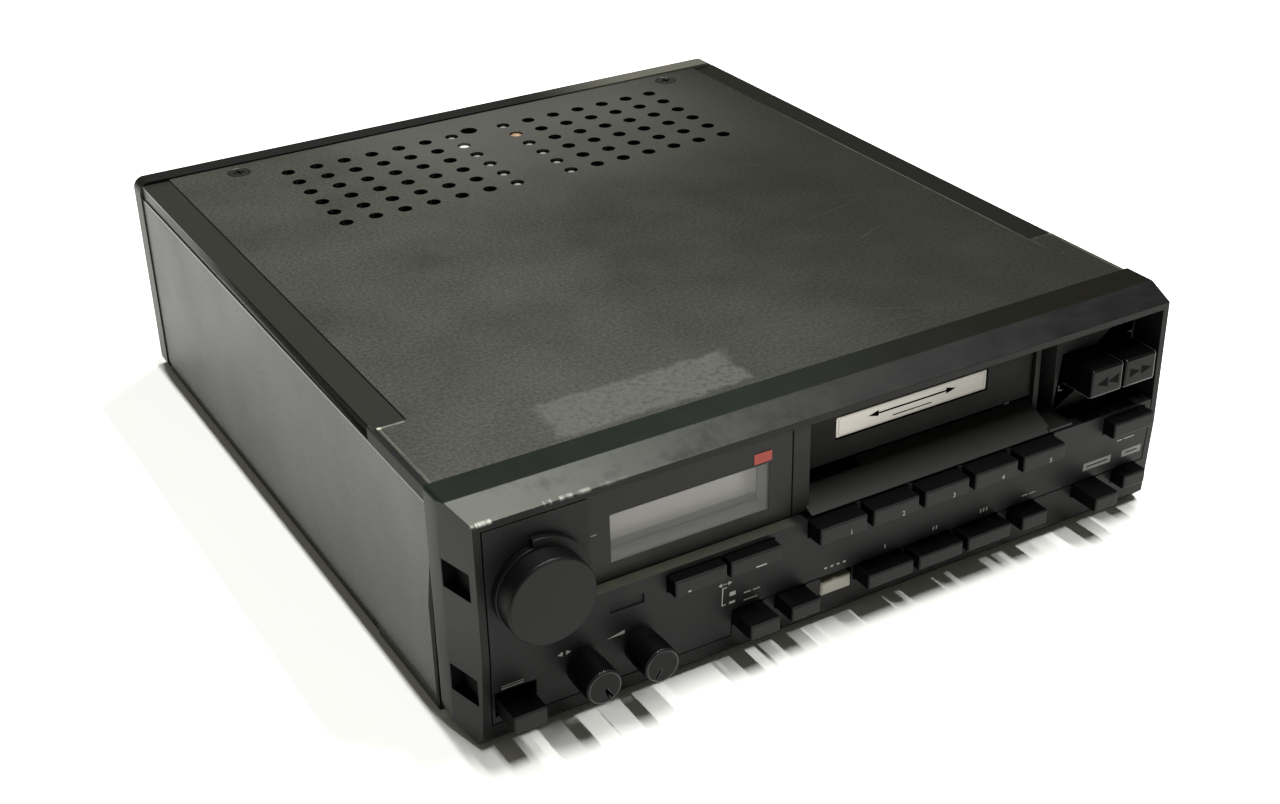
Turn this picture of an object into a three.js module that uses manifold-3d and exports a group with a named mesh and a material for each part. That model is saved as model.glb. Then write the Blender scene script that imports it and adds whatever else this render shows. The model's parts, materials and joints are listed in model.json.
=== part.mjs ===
import * as THREE from 'three';
import { mergeVertices } from 'three/addons/utils/BufferGeometryUtils.js';
import Module from 'manifold-3d';

// A car radio and cassette player that fills a dashboard slot.
// Millimetres: X to the right, Y to the back, Z up. Y starts at the rim of the nose.

const wasm = await Module();
wasm.setup();

const clearance = 0.3;
const overrun = 1;
const weldDistance = 1e-4;

// The nose: the moulding that stands in front of the dashboard
const nose = {
  width: 188,
  height: 58,
  depth: 16.4,
  cheekInset: 2.7,
  cheekDepth: 11.2,
  browDrop: 2,
  browDepth: 8.2,
  chinRise: 3.1,
  chinDepth: 1.5,
  soleDepth: 4.5,
  rim: 1.7,
  floor: 2,
  bottomCorner: 5,
  topCorner: 1.2,
};

// The case behind the dashboard, set in a little from the nose's sides and top
const shell = {
  sideSet: 0.5,
  topSet: 0.4,
  back: 203,
  wall: 1,
  corner: 1.2,
  frontLean: 2.3,
  stripDepth: 0.4,
  topStrip: 8.1,
  sideStrip: 4,
  stripFront: 43.1,
  sideStripFront: 45.7,
  footStrip: 3.1,
  footStripFront: 51.3,
};

// Bays of the panel from left to right, storeys of the nose from the bottom up, and rooms from front to back.
// Every size under across, up or deep below is for these, and is drawn out or in evenly to fill the set's own;
// one under knob or wheel keeps a circle round, by the smaller of the two shares that bear on it.
const bays = {
  knobWidth: 23.3,
  displayWidth: 52,
  postWidth: 4.4,
  mouthWidth: 67.9,
  wellWidth: 6.1,
  windingWidth: 24.9,
};
const storeys = { barHeight: 6.5, lowerHeight: 17, upperHeight: 6.9, windowHeight: 23.9, browHeight: 3.7 };
const rooms = { frontLength: 28, cassetteLength: 90, motorLength: 32, rearLength: 53 };
const total = (sizes) => Object.values(sizes).reduce((sum, size) => sum + size, 0);
const faceHalf = nose.width / 2 - nose.cheekInset;
const innerHalf = faceHalf - nose.rim;
const panelEnd = innerHalf - clearance;
const fit = {
  across: 2 * panelEnd / total(bays),
  up: nose.height / total(storeys),
  deep: shell.back / total(rooms),
};
fit.knob = Math.min(fit.across, fit.up);
fit.wheel = Math.min(fit.across, fit.deep);

// Square pockets in both cheeks for the removal keys
const keyPocket = {
  front: 2,
  back: 10.6,
  depth: 1.9,
  up: { height: 6.6, lowBottom: 11.6, highBottom: 37.4 },
};

// The control panel, flush with the rim, leans back below its keel
const panel = {
  back: 3.2,
  maskDepth: 0.5,
  across: { padWidth: bays.knobWidth, seamStep: 58.5, maskWidth: 8.3, maskOffset: 5.7 },
  up: {
    lowSeam: storeys.barHeight,
    highSeam: 13.4,
    keelHeight: storeys.barHeight + storeys.lowerHeight,
    ledgeHeight: storeys.barHeight + storeys.lowerHeight + storeys.upperHeight,
    maskHeight: 2.4,
    maskBottom: 24.4,
  },
};

const display = {
  front: 3,
  thickness: 2.2,
  tunnelWall: 1.2,
  tunnelDepth: 4.8,
  lensThickness: 1,
  moduleDepth: 3.4,
  across: { windowWidth: 39.1, windowOffset: 6.3, moduleWidth: 45 },
  up: { windowHeight: 11.6, windowBottom: 34.7, moduleHeight: 15.4 },
};

// The cassette mouth takes a compact cassette, 63.8 wide, pushed in short edge first
const mouth = {
  postFront: 3,
  postBack: 13,
  rampFront: 0.4,
  rampLip: 0.2,
  rampBack: 10,
  notchFront: 7.5,
  wellFloor: 0.8,
  earFront: 8,
  across: {
    leftBays: bays.knobWidth + bays.displayWidth + bays.postWidth,
    width: bays.mouthWidth,
    sideRoom: 2.05,
    postWidth: bays.postWidth,
    notchWidth: 17.4,
    wellWidth: bays.wellWidth,
    earWidth: 1.5,
  },
  up: { rampRise: 4.6 },
};

const door = {
  front: 9,
  thickness: 2,
  topGap: 1.1,
  pivotDrop: 1.4,
  pinRadius: 0.9,
  pinReach: 1.3,
  labelDepth: 0.7,
  labelThickness: 0.5,
  across: { labelWidth: 43.2, labelShift: -1.3 },
  up: { bottomHeight: 36.7, labelHeight: 5.7, labelBottom: 42 },
};

const recess = {
  front: 8,
  thickness: 2,
  wall: 1.3,
  wallBack: 20,
  across: { keyGap: 0.8, keyMargin: 2.3 },
};

// Rotary controls: places are counted from the panel's left end
const volume = {
  front: 7.7,
  back: 2.5,
  edge: 0.3,
  shaftBack: 7.6,
  across: { inset: 11 },
  up: { height: 38.3 },
  knob: { radius: 9.9, shaftRadius: 3 },
};
const fader = {
  tabStart: 8,
  tabSweep: 88,
  front: 2.2,
  back: 0.4,
  sleeveBack: 7.6,
  knob: { radius: 10.1, tabRadius: 11.8, sleeveRadius: 4.6 },
};
const smallKnob = {
  front: 9.5,
  back: 0.4,
  edge: 0.4,
  pointerWidth: 0.45,
  pointerDepth: 0.3,
  stopAngle: 147,
  shaftBack: 7.6,
  across: { balanceInset: 20.7, toneInset: 34.5 },
  up: { height: 14.4 },
  knob: { radius: 4.1, pointerStart: 0.7, pointerEnd: 3.3, shaftRadius: 1.6 },
};

// Keys: reach is how far the cap stands out of the rim plane
const keyForm = {
  flangeFront: 3.5,
  flangeThickness: 1,
  flangeSide: 0.35,
  flangeDrop: 0.9,
  stemWidth: 3,
  stemHeight: 2.4,
  edge: 0.35,
  switchFront: 9.6,
};
const upperRow = { up: { bottom: 26, height: 4.1 } };
const lowerRow = { up: { bottom: 9.5, height: 3.6 } };
const presets = { reach: 4.6, travel: 1.5, count: 5, across: { offset: -2, pitch: 14.3, gap: 1.7 } };
const tuning = {
  reach: 3.2,
  travel: 1.5,
  across: { offset: -38.1, pitch: 13.9, gap: 0.9 },
  up: { bottom: 25, height: 3.9 },
};
const bands = { reach: 4.6, travel: 2, count: 3, across: { offset: 11.7, pitch: 14.3, gap: 1.6 } };
const narrow = { across: { width: 7.6 } };
const seek = { reach: 6.6, travel: 3, across: { offset: -21.2 } };
const mono = { reach: 5.6, travel: 3, across: { offset: -9.8 } };
const memo = {
  reach: -0.5,
  travel: 1,
  across: { offset: 2.4, width: 8.1 },
  up: { bottom: 8.2, height: 3.6 },
};
const local = { reach: 4.6, travel: 3, across: { offset: 56.6 } };
const metal = { reach: 7.5, travel: 3, across: { endInset: 15.1, width: 7.1 } };
const search = { reach: 3.3, travel: 1.5, across: { endInset: 2.2, width: 7.1 } };
const program = {
  reach: 3.6,
  travel: 1.5,
  across: { endInset: 2.2, width: 12.5 },
  up: { bottom: 25.3, height: 4 },
};
const loud = {
  reach: 7.4,
  travel: 3,
  across: { inset: 0.9, holeWidth: 9.6 },
  up: { bottom: 9.3, height: 4.1, holeBottom: 8.3, holeHeight: 6.2 },
};
const winding = { reach: 2, back: 13, travel: 3, up: { bottom: 37.8, height: 7.3 } };

// Vents in even columns, the middle one left out for the clamp's screw
const vents = {
  columns: 15,
  rows: 6,
  backInset: 13.4,
  screwHoleInset: 11.7,
  across: { centre: 3.05, pitch: 8.37, radius: 1.93, screwHoleShift: -2, screwHoleRadius: 2.5 },
};
const coverScrew = {
  backInset: 5.7,
  headRadius: 3,
  headDepth: 1.1,
  shankRadius: 1.5,
  length: 6,
  slotWidth: 0.8,
  slotLength: 3.2,
  slotDepth: 0.6,
  across: { leftPlace: -67.2, rightPlace: 72.2 },
};
const tray = { thickness: 1, sideGap: 0.3, standoffRadius: 3, standoffInset: 8 };
const heatsink = {
  depth: 6,
  overhang: 0.4,
  plate: 2.2,
  rim: 1.8,
  corner: 3,
  finCount: 14,
  finThickness: 1.6,
  finDepth: 3.2,
  finMargin: 5,
  lugWidth: 11,
  lugDepth: 10,
  lugHeight: 6,
  across: { finFirst: -6, finPitch: 7 },
};
const aerial = {
  depth: 10,
  across: { place: -72 },
  up: { height: 40 },
  deep: { front: 196 },
  knob: { radius: 5.6, bore: 4.4 },
};
const harness = {
  wall: 1.8,
  depth: 10,
  across: { place: -45, width: 28 },
  up: { height: 20, tall: 16 },
  deep: { front: 194 },
};
const fuse = {
  capDepth: 3,
  slotWidth: 1.2,
  slotDepth: 1,
  across: { place: -72 },
  up: { height: 18 },
  deep: { front: 192 },
  knob: { radius: 5.4, capRadius: 6.6 },
};

// Circuit boards
const board = {
  thickness: 1.6,
  across: { side: 85.5 },
  up: { bottom: 8 },
  deep: { front: 24, back: 190 },
};
const tunerCan = {
  across: { left: -80, width: 42 },
  up: { height: 18 },
  deep: { front: 62, length: 56 },
};
const reservoir = {
  across: { place: -64, spacing: 22 },
  up: { height: 30 },
  deep: { backInset: 26 },
  wheel: { radius: 9 },
};
const frontBoard = {
  front: 13.8,
  thickness: 1.6,
  across: { side: 88 },
  up: { bottom: 4, top: 29.4, leftTop: 53 },
};
const pot = { front: 8, knob: { radius: 8.2, smallRadius: 5.6 } };
const keySwitch = { across: { width: 5.6 }, up: { height: 3.4 } };
const amplifier = {
  thickness: 4,
  across: { place: 34, width: 26 },
  up: { bottom: 12, height: 16 },
};
const clamp = { base: 1, railRadius: 1.6, railFall: 0.4, sideRoom: 2.2, deep: { front: 144 } };

// The tape deck
const deck = {
  thickness: 1.5,
  wall: 1.2,
  legRadius: 3,
  legInset: 4.5,
  legRoom: 0.6,
  across: { sideMargin: 16 },
  up: { top: 26.5, wallTop: 54 },
  deep: {
    front: rooms.frontLength,
    back: rooms.frontLength + rooms.cassetteLength + rooms.motorLength,
    shortWallFront: 96,
  },
};
const basket = {
  wall: 1,
  sideRoom: 0.5,
  across: { lip: 4, cutInset: 14 },
  up: { top: 52, lipBottom: 38.6 },
  deep: {
    front: rooms.frontLength,
    back: rooms.frontLength + rooms.cassetteLength,
    cutFront: 31.5,
    cutBack: 92,
  },
};
const capstan = {
  radius: 1,
  across: { inset: 7.5 },
  up: { top: 38 },
  deep: { middle: 62, spread: 24 },
};
const flywheel = {
  up: { rimThickness: 1.4, bottom: 15.6, height: 6 },
  wheel: { radius: 17, grooveRadius: 15, hubRadius: 4 },
};
const motor = {
  shaftRadius: 1,
  across: { place: -17 },
  up: { height: 20 },
  deep: { middle: 134 },
  wheel: { radius: 14 },
};
const pulley = {
  up: { flange: 0.8, height: 6 },
  wheel: { radius: 3.4, flangeRadius: 4.6 },
};
const belt = { thickness: 0.8, up: { width: 2.4 } };
const reel = {
  discHeight: 1.6,
  pinRadius: 1.4,
  pinDrop: 4,
  toothWidthShare: 0.667,
  teeth: 3,
  across: { offset: -2.9 },
  up: { top: 35 },
  deep: { spread: 21.25 },
  wheel: { discRadius: 11, hubRadius: 2.9 },
};
const headSlide = { thickness: 1, deep: { margin: 9 }, wheel: { width: 9 } };
const tapeHead = {
  inset: 0.8,
  nose: 1.6,
  up: { top: 39 },
  deep: { length: 12 },
  wheel: { width: 6 },
};
const pinch = {
  pinRadius: 1.2,
  pinRise: 0.6,
  bossRadius: 2.2,
  up: { bottom: 30.4, top: 37.6 },
  wheel: { radius: 5.5 },
};

// Each table's sizes across, up, deep, of knobs and of wheels are drawn out or in to the set's own
function fitTable(table) {
  for (const [way, share] of Object.entries(fit)) {
    for (const [name, size] of Object.entries(table[way] ?? {})) table[name] = size * share;
  }
}

const fittedTables = [
  keyPocket, panel, display, mouth, door, recess, volume, fader, smallKnob, upperRow, lowerRow,
  presets, tuning, bands, narrow, seek, mono, memo, local, metal, search, program, loud, winding,
  vents, coverScrew, heatsink, aerial, harness, fuse, board, tunerCan, reservoir, frontBoard, pot,
  keySwitch, amplifier, clamp, deck, basket, capstan, flywheel, motor, pulley, belt, reel,
  headSlide, tapeHead, pinch,
];
fittedTables.forEach(fitTable);

// How many sides stand for a circle of each kind
const sides = { vent: 8, pin: 10, screw: 16, small: 20, medium: 28, large: 40, corner: 4 };

const finish = {
  black: { color: 0x2c2c2d, roughness: 0.45, metalness: 0 },
  key: { color: 0x3c3c3e, roughness: 0.5, metalness: 0 },
  pale: { color: 0xa5a08c, roughness: 0.5, metalness: 0 },
  vinyl: { color: 0x50514a, roughness: 0.7, metalness: 0.2 },
  steel: { color: 0x9a9c9c, roughness: 0.4, metalness: 0.9 },
  cast: { color: 0x2f302e, roughness: 0.6, metalness: 0.5 },
  label: { color: 0xcfc7ba, roughness: 0.35, metalness: 0.4 },
  lens: { color: 0x6f6e68, roughness: 0.1, metalness: 0 },
  liquidCrystal: { color: 0x84807a, roughness: 0.4, metalness: 0 },
  circuit: { color: 0x6a5a2c, roughness: 0.6, metalness: 0 },
  rubber: { color: 0x1a1a1a, roughness: 0.9, metalness: 0 },
  brass: { color: 0xb08d4a, roughness: 0.35, metalness: 0.9 },
};

// A closed three.js shape as a manifold solid; collapsed triangles at a pole are left out
function solidOf(geometry) {
  const bare = geometry.clone();
  bare.deleteAttribute('normal');
  bare.deleteAttribute('uv');
  const welded = mergeVertices(bare, weldDistance);
  const index = welded.index.array;
  const triangles = [];
  for (let i = 0; i < index.length; i += 3) {
    const [a, b, c] = [index[i], index[i + 1], index[i + 2]];
    if (a !== b && b !== c && c !== a) triangles.push(a, b, c);
  }
  return new wasm.Manifold(new wasm.Mesh({
    numProp: 3,
    vertProperties: new Float32Array(welded.attributes.position.array),
    triVerts: new Uint32Array(triangles),
  }));
}

function geometryOf(solid) {
  const mesh = solid.getMesh();
  const geometry = new THREE.BufferGeometry();
  geometry.setAttribute('position', new THREE.BufferAttribute(new Float32Array(mesh.vertProperties), 3));
  geometry.setIndex(new THREE.BufferAttribute(new Uint32Array(mesh.triVerts), 1));
  geometry.computeVertexNormals();
  return geometry;
}

function block(x, y, z, turn = 0) {
  const size = [x, y, z].map(([low, high]) => high - low);
  const middle = [x, y, z].map(([low, high]) => (low + high) / 2);
  return solidOf(new THREE.BoxGeometry(...size).translate(...middle).rotateZ(turn));
}

function shapeOf(points) {
  return new THREE.Shape(points.map(([u, v]) => new THREE.Vector2(u, v)));
}

const alongX = new THREE.Matrix4().makeBasis(
  new THREE.Vector3(0, 1, 0), new THREE.Vector3(0, 0, 1), new THREE.Vector3(1, 0, 0));
const alongY = new THREE.Matrix4().makeBasis(
  new THREE.Vector3(1, 0, 0), new THREE.Vector3(0, 0, 1), new THREE.Vector3(0, -1, 0));

// Outlines in the side view (y, z), front view (x, z) and plan (x, y), drawn out between two planes
function sideOutline(shape, [low, high]) {
  const geometry = new THREE.ExtrudeGeometry(shape, { depth: high - low, bevelEnabled: false });
  return solidOf(geometry.applyMatrix4(alongX).translate(low, 0, 0));
}

function frontOutline(shape, [low, high]) {
  const geometry = new THREE.ExtrudeGeometry(shape, {
    depth: high - low, bevelEnabled: false, curveSegments: sides.corner,
  });
  return solidOf(geometry.applyMatrix4(alongY).translate(0, high, 0));
}

function planOutline(shape, [low, high]) {
  const geometry = new THREE.ExtrudeGeometry(shape, { depth: high - low, bevelEnabled: false });
  return solidOf(geometry.translate(0, 0, low));
}

// Turned pieces: pairs of radius and place along the axis, from low to high
function lathed(profile, count) {
  return new THREE.LatheGeometry(profile.map(([radius, along]) => new THREE.Vector2(radius, along)), count);
}

function turnedOnY(profile, count, x = 0, z = 0) {
  return solidOf(lathed(profile, count).translate(x, 0, z));
}

function turnedOnZ(profile, count, x = 0, y = 0) {
  return solidOf(lathed(profile, count).rotateX(Math.PI / 2).translate(x, y, 0));
}

function rodProfile(radius, [low, high]) {
  return [[0, low], [radius, low], [radius, high], [0, high]];
}

function rodY(radius, span, count, x = 0, z = 0) {
  return turnedOnY(rodProfile(radius, span), count, x, z);
}

function rodZ(radius, span, count, x = 0, y = 0) {
  return turnedOnZ(rodProfile(radius, span), count, x, y);
}

function rodX(radius, span, count, y = 0, z = 0) {
  return solidOf(lathed(rodProfile(radius, span), count).rotateZ(-Math.PI / 2).translate(0, y, z));
}

function roundedRectangle(left, right, bottom, top, cornerBottom, cornerTop) {
  const shape = new THREE.Shape();
  shape.moveTo(left + cornerBottom, bottom);
  shape.lineTo(right - cornerBottom, bottom);
  shape.absarc(right - cornerBottom, bottom + cornerBottom, cornerBottom, -Math.PI / 2, 0, false);
  shape.lineTo(right, top - cornerTop);
  shape.absarc(right - cornerTop, top - cornerTop, cornerTop, 0, Math.PI / 2, false);
  shape.lineTo(left + cornerTop, top);
  shape.absarc(left + cornerTop, top - cornerTop, cornerTop, Math.PI / 2, Math.PI, false);
  shape.lineTo(left, bottom + cornerBottom);
  shape.absarc(left + cornerBottom, bottom + cornerBottom, cornerBottom, Math.PI, 1.5 * Math.PI, false);
  return shape;
}

const radio = new THREE.Group();

function place(name, solid, look, x = 0, y = 0, z = 0) {
  const mesh = new THREE.Mesh(geometryOf(solid), new THREE.MeshStandardMaterial(finish[look]));
  mesh.name = name;
  mesh.position.set(x, y, z);
  radio.add(mesh);
  return mesh;
}

// Lines that several pieces share
const innerTop = nose.height - nose.browDrop - nose.rim;
const fittedTop = innerTop - clearance;
const ledge = panel.ledgeHeight;
const aboveLedge = ledge + clearance;
const mouthHalf = mouth.width / 2;
const mouthLeft = -panelEnd + mouth.leftBays;
const mouthMiddle = mouthLeft + mouthHalf;
const mouthRight = mouthLeft + mouth.width;
const postLeft = mouthLeft - mouth.postWidth;
const wellRight = mouthRight + mouth.wellWidth;
const padRight = -panelEnd + panel.padWidth;
const displayLeft = padRight + clearance;
const displayRight = postLeft - clearance;
const windowLeft = displayLeft + display.windowOffset;
const windowX = [windowLeft, windowLeft + display.windowWidth];
const windowZ = [display.windowBottom, display.windowBottom + display.windowHeight];
const seamStepX = -panelEnd + panel.seamStep;
const volumeX = -panelEnd + volume.inset;
const balanceX = -panelEnd + smallKnob.balanceInset;
const toneX = -panelEnd + smallKnob.toneInset;
const doorPivot = { y: door.front + door.thickness / 2, z: fittedTop - door.topGap - door.pivotDrop };
const shellFront = nose.depth + clearance;
const shellHalf = nose.width / 2 - shell.sideSet;
const shellTop = nose.height - shell.topSet;
const rearFace = shell.back + heatsink.depth;

// The panel's front falls back evenly from the keel to the chin
function panelFront(height) {
  if (height >= panel.keelHeight) return 0;
  return nose.chinDepth * (panel.keelHeight - height) / (panel.keelHeight - nose.chinRise);
}

function grown([low, high], margin) {
  return [low - margin, high + margin];
}

function around(middle, size) {
  return [middle - size / 2, middle + size / 2];
}

// From one distance to another out from the middle, on the left side (-1) or the right (1)
function sideSpan(side, from, to) {
  return [side * from, side * to].sort((a, b) => a - b);
}

// Every key: where its cap stands across the panel, how high, how far out, and how far it travels
function keyAt(name, left, width, bottom, height, { reach, travel }, look = 'key') {
  return { name, x: [left, left + width], z: [bottom, bottom + height], reach, travel, look };
}

function keyMiddle(key) {
  return { x: (key.x[0] + key.x[1]) / 2, z: (key.z[0] + key.z[1]) / 2 };
}

function keyRow(names, row, bottom, height) {
  return names.map((name, i) =>
    keyAt(name, mouthLeft + row.offset + i * row.pitch, row.pitch - row.gap, bottom, height, row));
}

const presetNames = Array.from({ length: presets.count }, (_, i) => `preset_${i + 1}_button`);
const bandNames = Array.from({ length: bands.count }, (_, i) => `band_${i + 1}_button`);
const presetKeys = keyRow(presetNames, presets, upperRow.bottom, upperRow.height);
const tuningKeys = keyRow(['tune_down_button', 'tune_up_button'], tuning, tuning.bottom, tuning.height);
const programKey = keyAt('program_button', panelEnd - program.endInset - program.width, program.width,
  program.bottom, program.height, program);
const loudKey = keyAt('loud_button', -panelEnd + loud.inset, narrow.width, loud.bottom, loud.height, loud);
const barKeys = [
  keyAt('seek_button', mouthLeft + seek.offset, narrow.width, lowerRow.bottom, lowerRow.height, seek),
  keyAt('mono_button', mouthLeft + mono.offset, narrow.width, lowerRow.bottom, lowerRow.height, mono),
  keyAt('memo_button', mouthLeft + memo.offset, memo.width, memo.bottom, memo.height, memo, 'pale'),
  ...keyRow(bandNames, bands, lowerRow.bottom, lowerRow.height),
  keyAt('local_button', mouthLeft + local.offset, narrow.width, lowerRow.bottom, lowerRow.height, local),
  keyAt('metal_button', panelEnd - metal.endInset - metal.width, metal.width,
    lowerRow.bottom, lowerRow.height, metal),
  keyAt('search_button', panelEnd - search.endInset - search.width, search.width,
    lowerRow.bottom, lowerRow.height, search),
];
const panelKeys = [...presetKeys, ...tuningKeys, programKey, loudKey];
const switchedKeys = [...panelKeys, ...barKeys];

// Front bezel: one moulding with brow, cheeks, chin and the bar under the panel
function frontBezel() {
  const across = [-nose.width / 2 - overrun, nose.width / 2 + overrun];
  const profile = sideOutline(shapeOf([
    [nose.depth, 0],
    [nose.depth, nose.height],
    [nose.browDepth, nose.height],
    [0, nose.height - nose.browDrop],
    [0, panel.keelHeight],
    [nose.chinDepth, nose.chinRise],
    [nose.soleDepth, 0],
  ]), across);
  const half = nose.width / 2;
  const plan = planOutline(shapeOf([
    [-faceHalf, 0],
    [faceHalf, 0],
    [half, nose.cheekDepth],
    [half, nose.depth],
    [-half, nose.depth],
    [-half, nose.cheekDepth],
  ]), [-overrun, nose.height + overrun]);
  const outline = frontOutline(
    roundedRectangle(-half, half, 0, nose.height, nose.bottomCorner, nose.topCorner),
    [-overrun, nose.depth + overrun]);
  const through = [-overrun, nose.depth + overrun];
  let body = profile.intersect(plan).intersect(outline)
    .subtract(block([seamStepX, innerHalf], through, [panel.highSeam - clearance, innerTop]))
    .subtract(block([-innerHalf, seamStepX], through, [panel.lowSeam - clearance, innerTop]))
    .subtract(block([-innerHalf, innerHalf], [panel.back, nose.depth + overrun], [nose.floor, innerTop]));
  for (const key of barKeys) {
    body = body.subtract(block(grown(key.x, clearance), through, [key.z[0] - clearance, innerTop]));
  }
  for (const bottom of [keyPocket.lowBottom, keyPocket.highBottom]) {
    for (const side of [-1, 1]) {
      const x = sideSpan(side, half - keyPocket.depth - nose.cheekInset / 2, half + overrun);
      body = body.subtract(block(x, [keyPocket.front, keyPocket.back], [bottom, bottom + keyPocket.height]));
    }
  }
  return body;
}

// Control panel: keys sit in notches along its top edge and in holes through its face
function controlPanel() {
  const low = panel.lowSeam;
  let body = sideOutline(shapeOf([
    [0, ledge],
    [0, panel.keelHeight],
    [panelFront(low), low],
    [panel.back, low],
    [panel.back, ledge],
  ]), [-panelEnd, panelEnd]);
  const through = [-overrun, panel.back + overrun];
  body = body.subtract(block([seamStepX - clearance, innerHalf], through, [0, panel.highSeam]));
  body = body.add(block([-panelEnd, padRight], [0, panel.back], [ledge - overrun, fittedTop]));
  for (const key of presetKeys) {
    body = body.subtract(block(grown(key.x, clearance), through, [key.z[0] - clearance, ledge + overrun]));
  }
  for (const key of [...tuningKeys, programKey]) {
    body = body.subtract(block(grown(key.x, clearance), through, grown(key.z, clearance)));
  }
  const loudHole = [loudKey.x[0] - clearance, loudKey.x[0] - clearance + loud.holeWidth];
  body = body.subtract(block(loudHole, through, [loud.holeBottom, loud.holeBottom + loud.holeHeight]));
  const maskRight = tuningKeys[0].x[0] - panel.maskOffset;
  body = body.subtract(block([maskRight - panel.maskWidth, maskRight], [-overrun, panel.maskDepth],
    [panel.maskBottom, panel.maskBottom + panel.maskHeight]));
  return body
    .subtract(rodY(fader.sleeveRadius + clearance, through, sides.small, volumeX, volume.height))
    .subtract(rodY(smallKnob.shaftRadius + clearance, through, sides.small, balanceX, smallKnob.height))
    .subtract(rodY(smallKnob.shaftRadius + clearance, through, sides.small, toneX, smallKnob.height));
}

// Display panel with the short tunnel that leads to the liquid crystal
function displayPanel() {
  const back = display.front + display.tunnelDepth;
  const plate = [display.front, display.front + display.thickness];
  return block([displayLeft, displayRight], plate, [aboveLedge, fittedTop])
    .add(block(grown(windowX, display.tunnelWall), [display.front, back], grown(windowZ, display.tunnelWall)))
    .subtract(block(windowX, [display.front - overrun, back + overrun], windowZ));
}

function displayWindow() {
  const front = display.front + clearance;
  const depth = [front, front + display.lensThickness];
  return block(grown(windowX, -clearance), depth, grown(windowZ, -clearance));
}

function displayModule() {
  const front = display.front + display.tunnelDepth + clearance;
  return block(
    around((windowX[0] + windowX[1]) / 2, display.moduleWidth),
    [front, front + display.moduleDepth],
    around((windowZ[0] + windowZ[1]) / 2, display.moduleHeight));
}

// Surround of the cassette mouth: post, sloping ramp with its notch, side well and hinge ears
function cassetteSurround() {
  const rampLow = aboveLedge + mouth.rampLip;
  const rampHigh = rampLow + mouth.rampRise;
  const rampShape = [
    [mouth.rampFront, aboveLedge],
    [mouth.rampBack, aboveLedge],
    [mouth.rampBack, rampHigh],
    [mouth.rampFront, rampLow],
  ];
  const wellTop = aboveLedge + mouth.wellFloor;
  const ear = [mouthRight, mouthRight + mouth.earWidth];
  const earDepth = [mouth.earFront, mouth.postBack];
  const pinReach = grown([postLeft, mouthRight + mouth.earWidth], overrun);
  const pinHole = rodX(door.pinRadius + clearance, pinReach, sides.pin, doorPivot.y, doorPivot.z);
  return sideOutline(shapeOf(rampShape), [mouthLeft - overrun, mouthRight])
    .subtract(block([mouthLeft, mouthLeft + mouth.notchWidth], [mouth.notchFront, mouth.rampBack + overrun],
      [wellTop, rampHigh + overrun]))
    .add(block([postLeft, mouthLeft], [mouth.postFront, mouth.postBack], [aboveLedge, fittedTop]))
    .add(block([mouthRight - overrun, wellRight], [mouth.rampFront, mouth.rampBack], [aboveLedge, wellTop]))
    .add(block(ear, earDepth, [aboveLedge, fittedTop]))
    .subtract(pinHole);
}

// Sunk plate at the right with the two winding keys, and the wall that closes it off
const recessLeft = wellRight + clearance;
const windingMargin = recess.keyMargin;
const windingWidth = (panelEnd - recessLeft - 2 * windingMargin - recess.keyGap) / 2;
const windingKeys = ['rewind_button', 'fast_forward_button'].map((name, i) =>
  keyAt(name, recessLeft + windingMargin + i * (windingWidth + recess.keyGap), windingWidth,
    winding.bottom, winding.height, winding));

function recessPlate() {
  const depth = [recess.front, recess.front + recess.thickness];
  const wall = [recessLeft, recessLeft + recess.wall];
  let body = block([recessLeft, panelEnd], depth, [aboveLedge, fittedTop])
    .add(block(wall, [recess.front, recess.wallBack], [aboveLedge, fittedTop]));
  for (const key of windingKeys) {
    body = body.subtract(block(grown(key.x, clearance), grown(depth, overrun), grown(key.z, clearance)));
  }
  return body;
}

// Door flap with its hinge pins, modelled about the hinge line
const doorX = [mouthLeft + clearance, mouthRight - clearance];
const labelMiddle = mouthMiddle + door.labelShift;
const labelX = around(labelMiddle, door.labelWidth);
const labelZ = [door.labelBottom - doorPivot.z, door.labelBottom + door.labelHeight - doorPivot.z];

function cassetteDoor() {
  const y = [door.front - doorPivot.y, door.front + door.thickness - doorPivot.y];
  return block(doorX, y, [door.bottomHeight - doorPivot.z, door.pivotDrop])
    .subtract(block(labelX, [y[0] - overrun, y[0] + door.labelDepth], labelZ))
    .add(rodX(door.pinRadius, grown(doorX, door.pinReach), sides.pin));
}

function doorLabel() {
  const back = door.front - doorPivot.y + door.labelDepth;
  return block(grown(labelX, -clearance), [back - door.labelThickness, back], grown(labelZ, -clearance));
}

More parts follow.
